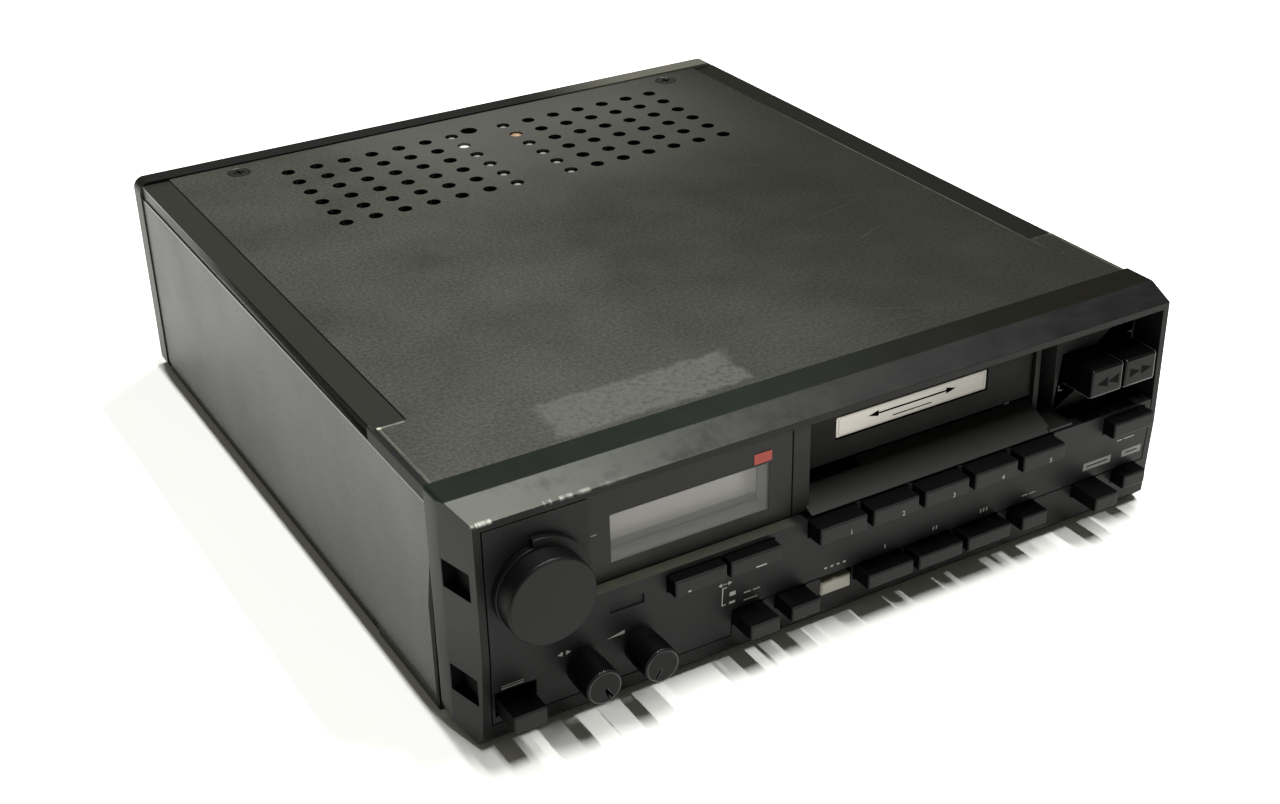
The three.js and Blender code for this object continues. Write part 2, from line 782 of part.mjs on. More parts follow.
// A key about the middle of its front face
function keySolid(key) {
  const half = [(key.x[1] - key.x[0]) / 2, (key.z[1] - key.z[0]) / 2];
  const edge = keyForm.edge;
  const outline = shapeOf([
    [-half[0] + edge, -half[1] + edge],
    [half[0] - edge, -half[1] + edge],
    [half[0] - edge, half[1] - edge],
    [-half[0] + edge, half[1] - edge],
  ]);
  const flangeFront = key.reach + keyForm.flangeFront;
  const bodyBack = flangeFront + keyForm.flangeThickness / 2;
  const cap = new THREE.ExtrudeGeometry(outline, {
    depth: bodyBack, bevelEnabled: true, bevelThickness: edge, bevelSize: edge, bevelSegments: 1,
  });
  const room = half.map((reach) => [-reach - overrun, reach + overrun]);
  const capSolid = solidOf(cap.applyMatrix4(alongY).translate(0, bodyBack + edge, 0))
    .intersect(block(room[0], [-overrun, bodyBack], room[1]));
  const flange = block(grown([-half[0], half[0]], keyForm.flangeSide),
    [flangeFront, flangeFront + keyForm.flangeThickness], [-half[1] - keyForm.flangeDrop, half[1]]);
  const stemEnd = key.reach + keyForm.switchFront - key.travel - clearance;
  const stem = block(around(0, keyForm.stemWidth), [flangeFront, stemEnd], around(0, keyForm.stemHeight));
  return capSolid.add(flange).add(stem);
}

function windingKey(key) {
  const half = [(key.x[1] - key.x[0]) / 2, (key.z[1] - key.z[0]) / 2];
  const edge = keyForm.edge;
  const outline = shapeOf([
    [-half[0] + edge, -half[1] + edge],
    [half[0] - edge, -half[1] + edge],
    [half[0] - edge, half[1] - edge],
    [-half[0] + edge, half[1] - edge],
  ]);
  const depth = key.reach + winding.back - 2 * edge;
  const cap = new THREE.ExtrudeGeometry(outline, {
    depth, bevelEnabled: true, bevelThickness: edge, bevelSize: edge, bevelSegments: 1,
  });
  return solidOf(cap.applyMatrix4(alongY).translate(0, depth + edge, 0));
}

function volumeKnob() {
  return turnedOnY([
    [0, -volume.front],
    [volume.radius - 2 * volume.edge, -volume.front],
    [volume.radius - volume.edge / 2, -volume.front + volume.edge / 2],
    [volume.radius, -volume.front + 2 * volume.edge],
    [volume.radius, -volume.back],
    [volume.shaftRadius, -volume.back],
    [volume.shaftRadius, volume.shaftBack],
    [0, volume.shaftBack],
  ], sides.large);
}

// Fader ring: a thin ring behind the volume knob with a raised finger tab and a hollow sleeve
function faderRing() {
  const bore = volume.shaftRadius + clearance;
  const ring = turnedOnY([
    [bore, -fader.front],
    [fader.radius, -fader.front],
    [fader.radius, -fader.back],
    [fader.sleeveRadius, -fader.back],
    [fader.sleeveRadius, fader.sleeveBack],
    [bore, fader.sleeveBack],
    [bore, -fader.front],
  ], sides.medium);
  const start = THREE.MathUtils.degToRad(fader.tabStart);
  const end = start + THREE.MathUtils.degToRad(fader.tabSweep);
  const sector = new THREE.Shape();
  const inner = (fader.radius + fader.sleeveRadius) / 2;
  sector.moveTo(inner * Math.cos(start), inner * Math.sin(start));
  sector.absarc(0, 0, fader.tabRadius, start, end, false);
  sector.lineTo(inner * Math.cos(end), inner * Math.sin(end));
  sector.absarc(0, 0, inner, end, start, true);
  const tab = new THREE.ExtrudeGeometry(sector, {
    depth: fader.front - fader.back, bevelEnabled: false, curveSegments: sides.pin,
  });
  return ring.add(solidOf(tab.applyMatrix4(alongY).translate(0, -fader.back, 0)));
}

// A knob whose pointer is cut into its face, turned clockwise from the top as seen from the front
function pointerKnob(turn) {
  const knob = turnedOnY([
    [0, -smallKnob.front],
    [smallKnob.radius - smallKnob.edge, -smallKnob.front],
    [smallKnob.radius, -smallKnob.front + smallKnob.edge],
    [smallKnob.radius, -smallKnob.back],
    [smallKnob.shaftRadius, -smallKnob.back],
    [smallKnob.shaftRadius, smallKnob.shaftBack],
    [0, smallKnob.shaftBack],
  ], sides.medium);
  const cutDepth = smallKnob.pointerDepth + overrun;
  const cutMiddle = -smallKnob.front + smallKnob.pointerDepth - cutDepth / 2;
  const length = smallKnob.pointerEnd - smallKnob.pointerStart;
  const line = new THREE.BoxGeometry(smallKnob.pointerWidth, cutDepth, length)
    .translate(0, cutMiddle, smallKnob.pointerStart + length / 2)
    .rotateY(THREE.MathUtils.degToRad(turn));
  return knob.subtract(solidOf(line));
}

// Top cover: a folded sheet with sunk strips along its long edges and the vent grid
const emptyColumn = Math.floor(vents.columns / 2);
const ventX = Array.from({ length: vents.columns }, (_, i) => vents.centre + (i - emptyColumn) * vents.pitch);
const ventY = Array.from({ length: vents.rows }, (_, j) => shell.back - vents.backInset - j * vents.pitch);
const screwY = shell.back - coverScrew.backInset;

function topCover() {
  const inner = shellHalf - shell.wall;
  const innerHigh = shellTop - shell.wall;
  const back = shell.back;
  const section = roundedRectangle(-shellHalf, shellHalf, -shell.corner, shellTop, shell.corner, shell.corner);
  const outer = frontOutline(section, [shellFront, back]);
  const lean = sideOutline(shapeOf([
    [shellFront - overrun, -shell.corner - overrun],
    [shellFront + shell.frontLean, -shell.corner - overrun],
    [shellFront + shell.frontLean, 0],
    [shellFront, innerHigh],
    [shellFront - overrun, innerHigh],
  ]), grown([-shellHalf, shellHalf], overrun));
  const length = grown([shellFront, back], overrun);
  let cover = outer
    .subtract(block([-inner, inner], length, [-shell.corner - overrun, innerHigh]))
    .subtract(block(grown([-shellHalf, shellHalf], overrun), length, [-shell.corner - overrun, 0]))
    .subtract(lean);
  const sunk = shell.stripDepth;
  const stripTop = shellTop - sunk;
  for (const side of [-1, 1]) {
    const past = shellHalf + overrun;
    const onTop = sideSpan(side, shellHalf - shell.topStrip, past);
    const onSide = sideSpan(side, shellHalf - sunk, past);
    cover = cover
      .subtract(block(onTop, [shell.stripFront, back + overrun], [stripTop, stripTop + overrun]))
      .subtract(block(onSide, [shell.sideStripFront, back + overrun],
        [shellTop - shell.sideStrip, shellTop + overrun]))
      .subtract(block(onSide, [shell.footStripFront, back + overrun], [-overrun, shell.footStrip]));
  }
  const through = [innerHigh - overrun, shellTop + overrun];
  ventX.forEach((x, i) => {
    if (i === emptyColumn) return;
    for (const y of ventY) cover = cover.subtract(rodZ(vents.radius, through, sides.vent, x, y));
  });
  const clampScrew = [vents.centre + vents.screwHoleShift, back - vents.screwHoleInset];
  cover = cover.subtract(rodZ(vents.screwHoleRadius, through, sides.screw, ...clampScrew));
  for (const x of [coverScrew.leftPlace, coverScrew.rightPlace]) {
    const seat = turnedOnZ([
      [0, innerHigh - overrun],
      [coverScrew.shankRadius + clearance, innerHigh - overrun],
      [coverScrew.shankRadius + clearance, shellTop - coverScrew.headDepth - clearance],
      [coverScrew.headRadius + clearance, shellTop],
      [coverScrew.headRadius + clearance, shellTop + overrun],
      [0, shellTop + overrun],
    ], sides.screw, x, screwY);
    cover = cover.subtract(seat);
  }
  return cover;
}

// A countersunk cross-slot screw about the middle of its head
function screwSolid() {
  const body = turnedOnZ([
    [0, -coverScrew.length],
    [coverScrew.shankRadius, -coverScrew.length],
    [coverScrew.shankRadius, -coverScrew.headDepth],
    [coverScrew.headRadius, 0],
    [0, 0],
  ], sides.screw);
  const half = coverScrew.slotWidth / 2;
  const reach = coverScrew.slotLength / 2;
  const down = [-coverScrew.slotDepth, overrun];
  return body
    .subtract(block([-reach, reach], [-half, half], down))
    .subtract(block([-half, half], [-reach, reach], down));
}

// Bottom tray with the four standoffs of the main board
const trayHalf = shellHalf - shell.wall - tray.sideGap;
const standoffPlaces = [-1, 1].flatMap((side) => [board.front, board.back].map((y, i) => [
  side * (board.side - tray.standoffInset),
  y + (i === 0 ? tray.standoffInset : -tray.standoffInset),
]));

function bottomTray() {
  let body = block([-trayHalf, trayHalf], [shellFront, shell.back - clearance], [0, tray.thickness]);
  for (const [x, y] of standoffPlaces) {
    body = body.add(rodZ(tray.standoffRadius, [tray.thickness / 2, board.bottom], sides.pin, x, y));
  }
  return body;
}

// Rear heatsink: a dished casting with upright fins and two lugs for the cover's screws
function rearHeatsink() {
  const half = shellHalf + heatsink.overhang;
  const top = shellTop + heatsink.overhang;
  const front = shell.back + clearance;
  const section = roundedRectangle(-half, half, 0, top, heatsink.corner, heatsink.corner);
  const dish = [front + heatsink.plate, rearFace + overrun];
  let body = frontOutline(section, [front, rearFace])
    .subtract(block(grown([-half, half], -heatsink.rim), dish, grown([0, top], -heatsink.rim)));
  const finRoot = front + heatsink.plate / 2;
  const finEnd = front + heatsink.plate + heatsink.finDepth;
  for (let i = 0; i < heatsink.finCount; i += 1) {
    const x = heatsink.finFirst + i * heatsink.finPitch;
    body = body.add(block([x, x + heatsink.finThickness], [finRoot, finEnd],
      grown([0, top], -heatsink.rim - heatsink.finMargin)));
  }
  const lugTop = shellTop - shell.wall - clearance;
  for (const x of [coverScrew.leftPlace, coverScrew.rightPlace]) {
    body = body.add(block(around(x, heatsink.lugWidth), [front - heatsink.lugDepth, front + heatsink.plate / 2],
      [lugTop - heatsink.lugHeight, lugTop]));
    body = body.subtract(rodZ(coverScrew.shankRadius + clearance,
      [lugTop - heatsink.lugHeight - overrun, lugTop + overrun], sides.pin, x, screwY));
  }
  const through = [front - overrun, rearFace + overrun];
  body = body
    .subtract(rodY(aerial.radius + clearance, through, sides.small, aerial.place, aerial.height))
    .subtract(rodY(fuse.radius + clearance, through, sides.small, fuse.place, fuse.height))
    .subtract(block(grown(around(harness.place, harness.width), clearance), through,
      grown(around(harness.height, harness.tall), clearance)));
  return body;
}

function aerialSocket() {
  const y = [aerial.front, rearFace - clearance];
  return rodY(aerial.radius, y, sides.small)
    .subtract(rodY(aerial.bore, [y[1] - aerial.depth, y[1] + overrun], sides.small));
}

function harnessConnector() {
  const x = around(harness.place, harness.width);
  const z = around(harness.height, harness.tall);
  const y = [harness.front, rearFace - clearance];
  const hollow = [y[1] - harness.depth, y[1] + overrun];
  return block(x, y, z).subtract(block(grown(x, -harness.wall), hollow, grown(z, -harness.wall)));
}

function fuseHolder() {
  const capFront = shell.back + clearance + heatsink.plate + clearance;
  const capBack = capFront + fuse.capDepth;
  const body = rodY(fuse.radius, [fuse.front, capFront + fuse.capDepth / 2], sides.small)
    .add(rodY(fuse.capRadius, [capFront, capBack], sides.small));
  const slot = [capBack - fuse.slotDepth, capBack + overrun];
  return body.subtract(block([-fuse.radius, fuse.radius], slot, around(0, fuse.slotWidth)));
}

// Main board with its tuner can and reservoir capacitors; the deck's legs pass through it
const deckHalf = mouthHalf + deck.sideMargin;
const deckX = [mouthMiddle - deckHalf, mouthMiddle + deckHalf];
const legPlaces = [deckX[0] + deck.legInset, deckX[1] - deck.legInset].flatMap((x) =>
  [deck.front + deck.legInset, deck.back - deck.legInset].map((y) => [x, y]));

function mainBoard() {
  const top = board.bottom + board.thickness;
  const rooted = board.bottom + board.thickness / 2;
  const canX = [tunerCan.left, tunerCan.left + tunerCan.width];
  const canY = [tunerCan.front, tunerCan.front + tunerCan.length];
  let body = block([-board.side, board.side], [board.front, board.back], [board.bottom, top])
    .add(block(canX, canY, [rooted, top + tunerCan.height]));
  for (const x of [reservoir.place, reservoir.place + reservoir.spacing]) {
    body = body.add(rodZ(reservoir.radius, [rooted, top + reservoir.height], sides.small,
      x, board.back - reservoir.backInset));
  }
  for (const [x, y] of legPlaces) {
    const through = grown([board.bottom, top], overrun);
    body = body.subtract(rodZ(deck.legRadius + deck.legRoom, through, sides.pin, x, y));
  }
  return body;
}

// Front board behind the panel, with the bodies of the rotary controls and key switches on it
function frontBoardSolid() {
  const y = [frontBoard.front, frontBoard.front + frontBoard.thickness];
  const rooted = y[0] + frontBoard.thickness / 2;
  let body = block([-frontBoard.side, frontBoard.side], y, [frontBoard.bottom, frontBoard.top])
    .add(block([-frontBoard.side, displayRight], y, [frontBoard.top - overrun, frontBoard.leftTop]))
    .add(rodY(pot.radius, [pot.front, rooted], sides.small, volumeX, volume.height));
  for (const x of [balanceX, toneX]) {
    body = body.add(rodY(pot.smallRadius, [pot.front, rooted], sides.small, x, smallKnob.height));
  }
  for (const key of switchedKeys) {
    const { x, z } = keyMiddle(key);
    body = body.add(block(around(x, keySwitch.width), [keyForm.switchFront, rooted],
      around(z, keySwitch.height)));
  }
  return body;
}

function amplifierChip() {
  return block(around(amplifier.place, amplifier.width), [shell.back - amplifier.thickness, shell.back],
    [amplifier.bottom, amplifier.bottom + amplifier.height]);
}

// Clamp under the vents: two rounded rails that show through the holes beside the middle
function clampBracket() {
  const top = shellTop - shell.wall - clearance;
  const railX = [vents.centre - vents.pitch, vents.centre + vents.pitch];
  const railTop = top - clamp.railRadius;
  const y = [clamp.front, shell.back];
  const base = [railTop - clamp.railRadius - clamp.base, railTop - clamp.railRadius];
  let body = block([railX[0] - clamp.sideRoom, railX[1] + clamp.sideRoom], y, base);
  const foot = [base[1] - clamp.base / 2, railTop - clamp.railFall];
  for (const x of railX) {
    body = body.add(rodY(clamp.railRadius, y, sides.pin, x, foot[1]))
      .add(block(around(x, 2 * clamp.railRadius), y, foot));
  }
  return body;
}

// Where the capstans, reels, motor and pinch rollers stand on the deck
const cassetteHalf = mouthHalf - mouth.sideRoom;
const capstanX = mouthMiddle + cassetteHalf - capstan.inset;
const capstanY = [capstan.middle - capstan.spread, capstan.middle + capstan.spread];
const reelX = mouthMiddle + reel.offset;
const reelY = [capstan.middle - reel.spread, capstan.middle + reel.spread];
const motorPlace = [mouthMiddle + motor.place, motor.middle];
const pulleyBottom = flywheel.bottom + (flywheel.height - pulley.height) / 2;
const deckBottom = deck.top - deck.thickness;
const basketHalf = cassetteHalf + basket.sideRoom + basket.wall;

function deckPlate() {
  const wallX = (side) => [basketHalf + clearance, basketHalf + clearance + deck.wall]
    .map((out) => mouthMiddle + side * out).sort((a, b) => a - b);
  const wallZ = [deck.top - deck.thickness / 2, deck.wallTop];
  let body = block(deckX, [deck.front, deck.back], [deckBottom, deck.top])
    .add(block(wallX(-1), [basket.front, basket.back], wallZ))
    .add(block(wallX(1), [deck.shortWallFront, basket.back], wallZ));
  for (const [x, y] of legPlaces) {
    body = body.add(rodZ(deck.legRadius, [tray.thickness, deck.top - deck.thickness / 2], sides.pin, x, y));
  }
  const hole = (radius, x, y) =>
    rodZ(radius + clearance, grown([deckBottom, deck.top], overrun), sides.pin, x, y);
  for (const y of capstanY) body = body.subtract(hole(capstan.radius, capstanX, y));
  for (const y of reelY) body = body.subtract(hole(reel.pinRadius, reelX, y));
  return body.subtract(hole(motor.shaftRadius, ...motorPlace));
}

// Cassette basket: roof, side walls and lips that carry the cassette down onto the reels
function cassetteBasket() {
  const x = around(mouthMiddle, 2 * basketHalf);
  const y = [basket.front, basket.back];
  const lipTop = basket.lipBottom + basket.wall;
  const roof = basket.top - basket.wall;
  const slit = grown(x, -basket.wall - basket.lip);
  return block(x, y, [basket.lipBottom, basket.top])
    .subtract(block(grown(x, -basket.wall), [y[0] - overrun, y[1] - basket.wall], [lipTop, roof]))
    .subtract(block(slit, grown(y, overrun), [basket.lipBottom - overrun, lipTop + overrun]))
    .subtract(block([x[1] - basket.cutInset, x[1] + overrun], [basket.cutFront, basket.cutBack],
      [basket.lipBottom - overrun, roof]));
}

function flywheelSolid() {
  const low = 0;
  const high = flywheel.height;
  const rim = flywheel.rimThickness;
  const top = capstan.top - flywheel.bottom;
  const collar = deckBottom - clearance - flywheel.bottom;
  return turnedOnZ([
    [0, low],
    [flywheel.radius, low],
    [flywheel.radius, low + rim],
    [flywheel.grooveRadius, low + rim],
    [flywheel.grooveRadius, high - rim],
    [flywheel.radius, high - rim],
    [flywheel.radius, high],
    [flywheel.hubRadius, high],
    [flywheel.hubRadius, collar],
    [capstan.radius, collar],
    [capstan.radius, top],
    [0, top],
  ], sides.medium);
}

function motorPulley() {
  const high = pulley.height;
  const bore = motor.shaftRadius + clearance;
  return turnedOnZ([
    [bore, 0],
    [pulley.flangeRadius, 0],
    [pulley.flangeRadius, pulley.flange],
    [pulley.radius, pulley.flange],
    [pulley.radius, high - pulley.flange],
    [pulley.flangeRadius, high - pulley.flange],
    [pulley.flangeRadius, high],
    [bore, high],
    [bore, 0],
  ], sides.small);
}

// The motor stands on the deck with its shaft down through it
function motorSolid() {
  const bottom = deck.top + clearance;
  return rodZ(motor.radius, [bottom, bottom + motor.height], sides.medium)
    .add(rodZ(motor.shaftRadius, [pulleyBottom, bottom + overrun], sides.pin));
}

// The belt runs round the front flywheel and the pulley and presses the rear flywheel from outside,
// so that the two capstans turn opposite ways. Circles are passed with turn 1 inside the loop, -1 outside.
function beltHeadings(wheels) {
  return wheels.map((from, i) => {
    const to = wheels[(i + 1) % wheels.length];
    const dx = to.x - from.x;
    const dy = to.y - from.y;
    const lean = Math.asin((from.turn * from.radius - to.turn * to.radius) / Math.hypot(dx, dy));
    return Math.atan2(dy, dx) + lean;
  });
}

function beltPath(wheels) {
  const headings = beltHeadings(wheels);
  const points = [];
  wheels.forEach((wheel, i) => {
    const arrive = headings[(i + wheels.length - 1) % wheels.length];
    const leave = headings[i];
    let sweep = leave - arrive;
    while (wheel.turn * sweep < 0) sweep += wheel.turn * 2 * Math.PI;
    while (wheel.turn * sweep >= 2 * Math.PI) sweep -= wheel.turn * 2 * Math.PI;
    const steps = Math.max(2, Math.ceil(Math.abs(sweep) / (Math.PI / sides.small)));
    for (let s = 0; s <= steps; s += 1) {
      const heading = arrive + sweep * s / steps;
      const out = heading - wheel.turn * Math.PI / 2;
      points.push([wheel.x + wheel.radius * Math.cos(out), wheel.y + wheel.radius * Math.sin(out)]);
    }
  });
  return points;
}

function driveBelt() {
  const near = clearance;
  const far = clearance + belt.thickness;
  const wheels = (inside, outside) => [
    { x: capstanX, y: capstanY[0], radius: flywheel.grooveRadius + inside, turn: 1 },
    { x: capstanX, y: capstanY[1], radius: flywheel.grooveRadius + outside, turn: -1 },
    { x: motorPlace[0], y: motorPlace[1], radius: pulley.radius + inside, turn: 1 },
  ];
  const middle = flywheel.bottom + flywheel.height / 2;
  const z = [middle - belt.width / 2, middle + belt.width / 2];
  return planOutline(shapeOf(beltPath(wheels(far, near))), z)
    .subtract(planOutline(shapeOf(beltPath(wheels(near, far))), grown(z, overrun)));
}

function reelSolid() {
  const low = deck.top + clearance;
  const body = turnedOnZ([
    [0, deck.top - reel.pinDrop],
    [reel.pinRadius, deck.top - reel.pinDrop],
    [reel.pinRadius, low],
    [reel.discRadius, low],
    [reel.discRadius, low + reel.discHeight],
    [reel.hubRadius, low + reel.discHeight],
    [reel.hubRadius, reel.top - reel.hubRadius / 2],
    [0, reel.top],
  ], sides.small);
  const toothHalf = reel.pinRadius * reel.toothWidthShare / 2;
  const tooth = (turn) => block([0, reel.hubRadius + reel.pinRadius / 2], [-toothHalf, toothHalf],
    [low + reel.discHeight / 2, reel.top - reel.hubRadius / 2], turn);
  return Array.from({ length: reel.teeth }, (_, i) => tooth(i * 2 * Math.PI / reel.teeth))
    .reduce((whole, part) => whole.add(part), body);
}

// Head slide: a thin plate that carries the tape head and the pins of the two pinch rollers.
// At rest it is drawn back, so that the basket clears it on its way down.
const pinchX = mouthMiddle + basketHalf + clearance + pinch.radius;
const slideX = [pinchX - headSlide.width / 2, pinchX + headSlide.width / 2];
const slideZ = [deck.top + clearance, deck.top + clearance + headSlide.thickness];

function headSlideSolid() {
  const half = capstan.spread + headSlide.margin;
  let body = block(slideX, [capstan.middle - half, capstan.middle + half], slideZ);
  for (const y of capstanY) {
    const root = slideZ[0] + headSlide.thickness / 2;
    body = body
      .add(rodZ(pinch.pinRadius, [root, pinch.top + pinch.pinRise], sides.pin, pinchX, y))
      .add(rodZ(pinch.bossRadius, [root, pinch.bottom - clearance], sides.pin, pinchX, y));
  }
  return body;
}

function tapeHeadSolid() {
  const x = [slideX[0] + tapeHead.inset, slideX[0] + tapeHead.inset + tapeHead.width];
  const y = [capstan.middle - tapeHead.length / 2, capstan.middle + tapeHead.length / 2];
  return planOutline(shapeOf([
    [x[0], y[0] + tapeHead.nose],
    [x[0] + tapeHead.nose, y[0]],
    [x[1], y[0]],
    [x[1], y[1]],
    [x[0] + tapeHead.nose, y[1]],
    [x[0], y[1] - tapeHead.nose],
  ]), [slideZ[1] + clearance, tapeHead.top]);
}

function pinchRoller() {
  const bore = pinch.pinRadius + clearance;
  return turnedOnZ([
    [bore, pinch.bottom],
    [pinch.radius, pinch.bottom],
    [pinch.radius, pinch.top],
    [bore, pinch.top],
    [bore, pinch.bottom],
  ], sides.small);
}

// Front
place('front_bezel', frontBezel(), 'black');
place('control_panel', controlPanel(), 'black');
place('display_panel', displayPanel(), 'black');
place('display_window', displayWindow(), 'lens');
place('display_module', displayModule(), 'liquidCrystal');
place('cassette_surround', cassetteSurround(), 'black');
place('recess_plate', recessPlate(), 'black');
place('cassette_door', cassetteDoor(), 'black', 0, doorPivot.y, doorPivot.z);
place('door_label', doorLabel(), 'label', 0, doorPivot.y, doorPivot.z);

// Controls
place('volume_knob', volumeKnob(), 'key', volumeX, 0, volume.height);
place('fader_ring', faderRing(), 'key', volumeX, 0, volume.height);
place('balance_knob', pointerKnob(smallKnob.stopAngle), 'key', balanceX, 0, smallKnob.height);
place('tone_knob', pointerKnob(-smallKnob.stopAngle), 'key', toneX, 0, smallKnob.height);
for (const key of [...switchedKeys, ...windingKeys]) {
  const solid = windingKeys.includes(key) ? windingKey(key) : keySolid(key);
  const { x, z } = keyMiddle(key);
  place(key.name, solid, key.look, x, -key.reach, z);
}

// Case
place('top_cover', topCover(), 'vinyl');
place('cover_screw_left', screwSolid(), 'cast', coverScrew.leftPlace, screwY, shellTop);
place('cover_screw_right', screwSolid(), 'cast', coverScrew.rightPlace, screwY, shellTop);
place('bottom_tray', bottomTray(), 'steel');
place('rear_heatsink', rearHeatsink(), 'cast');
place('aerial_socket', aerialSocket(), 'steel', aerial.place, 0, aerial.height);
place('harness_connector', harnessConnector(), 'pale');
place('fuse_holder', fuseHolder(), 'black', fuse.place, 0, fuse.height);

// Electronics
place('main_board', mainBoard(), 'circuit');
place('front_board', frontBoardSolid(), 'circuit');
place('amplifier_chip', amplifierChip(), 'black');
place('clamp_bracket', clampBracket(), 'steel');

// Tape deck
place('deck_plate', deckPlate(), 'steel');
place('cassette_basket', cassetteBasket(), 'steel');
place('flywheel_front', flywheelSolid(), 'brass', capstanX, capstanY[0], flywheel.bottom);
place('flywheel_rear', flywheelSolid(), 'brass', capstanX, capstanY[1], flywheel.bottom);
place('motor', motorSolid(), 'steel', ...motorPlace, 0);
place('motor_pulley', motorPulley(), 'brass', ...motorPlace, pulleyBottom);
place('drive_belt', driveBelt(), 'rubber');
place('reel_front', reelSolid(), 'black', reelX, reelY[0], 0);
place('reel_rear', reelSolid(), 'black', reelX, reelY[1], 0);
place('head_slide', headSlideSolid(), 'steel');
place('tape_head', tapeHeadSolid(), 'steel');
place('pinch_roller_front', pinchRoller(), 'rubber', pinchX, capstanY[0], 0);
place('pinch_roller_rear', pinchRoller(), 'rubber', pinchX, capstanY[1], 0);

// The origin is under the middle of the whole object, knobs included
radio.position.y = (smallKnob.front - rearFace) / 2;

export default radio;
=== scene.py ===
import json
import math

import bmesh
import bpy
from mathutils import Matrix, Vector
from mathutils.bvhtree import BVHTree

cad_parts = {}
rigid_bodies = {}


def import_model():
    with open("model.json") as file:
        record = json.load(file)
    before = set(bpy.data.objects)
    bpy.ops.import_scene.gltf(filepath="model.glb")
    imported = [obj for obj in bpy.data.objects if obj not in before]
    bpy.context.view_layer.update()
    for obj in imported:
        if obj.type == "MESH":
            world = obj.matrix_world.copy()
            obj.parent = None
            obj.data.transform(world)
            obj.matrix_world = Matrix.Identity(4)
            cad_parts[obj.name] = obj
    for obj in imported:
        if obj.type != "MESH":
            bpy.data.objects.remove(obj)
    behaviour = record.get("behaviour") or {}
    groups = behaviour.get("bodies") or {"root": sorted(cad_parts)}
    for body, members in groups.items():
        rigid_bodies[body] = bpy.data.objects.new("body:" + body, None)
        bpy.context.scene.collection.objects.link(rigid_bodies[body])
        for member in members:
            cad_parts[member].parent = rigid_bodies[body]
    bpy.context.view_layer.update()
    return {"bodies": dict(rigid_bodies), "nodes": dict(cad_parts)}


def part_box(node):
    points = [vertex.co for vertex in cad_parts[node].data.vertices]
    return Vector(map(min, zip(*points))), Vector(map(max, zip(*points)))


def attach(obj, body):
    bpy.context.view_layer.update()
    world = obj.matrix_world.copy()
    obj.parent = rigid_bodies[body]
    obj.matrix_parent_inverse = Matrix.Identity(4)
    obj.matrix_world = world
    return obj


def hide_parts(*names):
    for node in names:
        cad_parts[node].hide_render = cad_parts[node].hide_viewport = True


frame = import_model()
nodes = frame["nodes"]
mm = 0.001
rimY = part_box("control_panel")[0].y  # the rim's face; "in" below is counted inwards from it
bodyOf = {node.name: body for body, empty in frame["bodies"].items() for node in empty.children}
print("frame loaded", len(nodes), "nodes")


def spot(x, inward, z):
    return Vector((x * mm, rimY + inward * mm, z * mm))


# shader maths
class Reading:  # one output of a finish's nodes, which can be added, multiplied and so on
    def __init__(self, finish, socket):
        self.finish = finish
        self.socket = socket

    def maths(self, operation, *values):
        return self.finish.maths(operation, *values)

    def __add__(self, other):
        return self.maths("ADD", self, other)

    def __radd__(self, other):
        return self.maths("ADD", other, self)

    def __sub__(self, other):
        return self.maths("SUBTRACT", self, other)

    def __rsub__(self, other):
        return self.maths("SUBTRACT", other, self)

    def __mul__(self, other):
        return self.maths("MULTIPLY", self, other)

    def __rmul__(self, other):
        return self.maths("MULTIPLY", other, self)

    def __truediv__(self, other):
        return self.maths("DIVIDE", self, other)

    def __pow__(self, other):
        return self.maths("POWER", self, other)

    def __abs__(self):
        return self.maths("ABSOLUTE", self)

    def rise(self, low, high):  # 0 at low, 1 at high, straight between
        return self.finish.node("ShaderNodeMapRange", {}, {"Value": self, "From Min": low, "From Max": high})

    def within(self, low, high, soft=0.1):  # 1 between two values, 0 outside
        return self.above(low, soft) * self.below(high, soft)

    def above(self, edge, soft=0.1):
        return self.finish.node(
            "ShaderNodeMapRange",
            {"interpolation_type": "SMOOTHSTEP"},
            {"Value": self, "From Min": edge - soft, "From Max": edge + soft},
        )

    def below(self, edge, soft=0.1):
        return 1 - self.above(edge, soft)


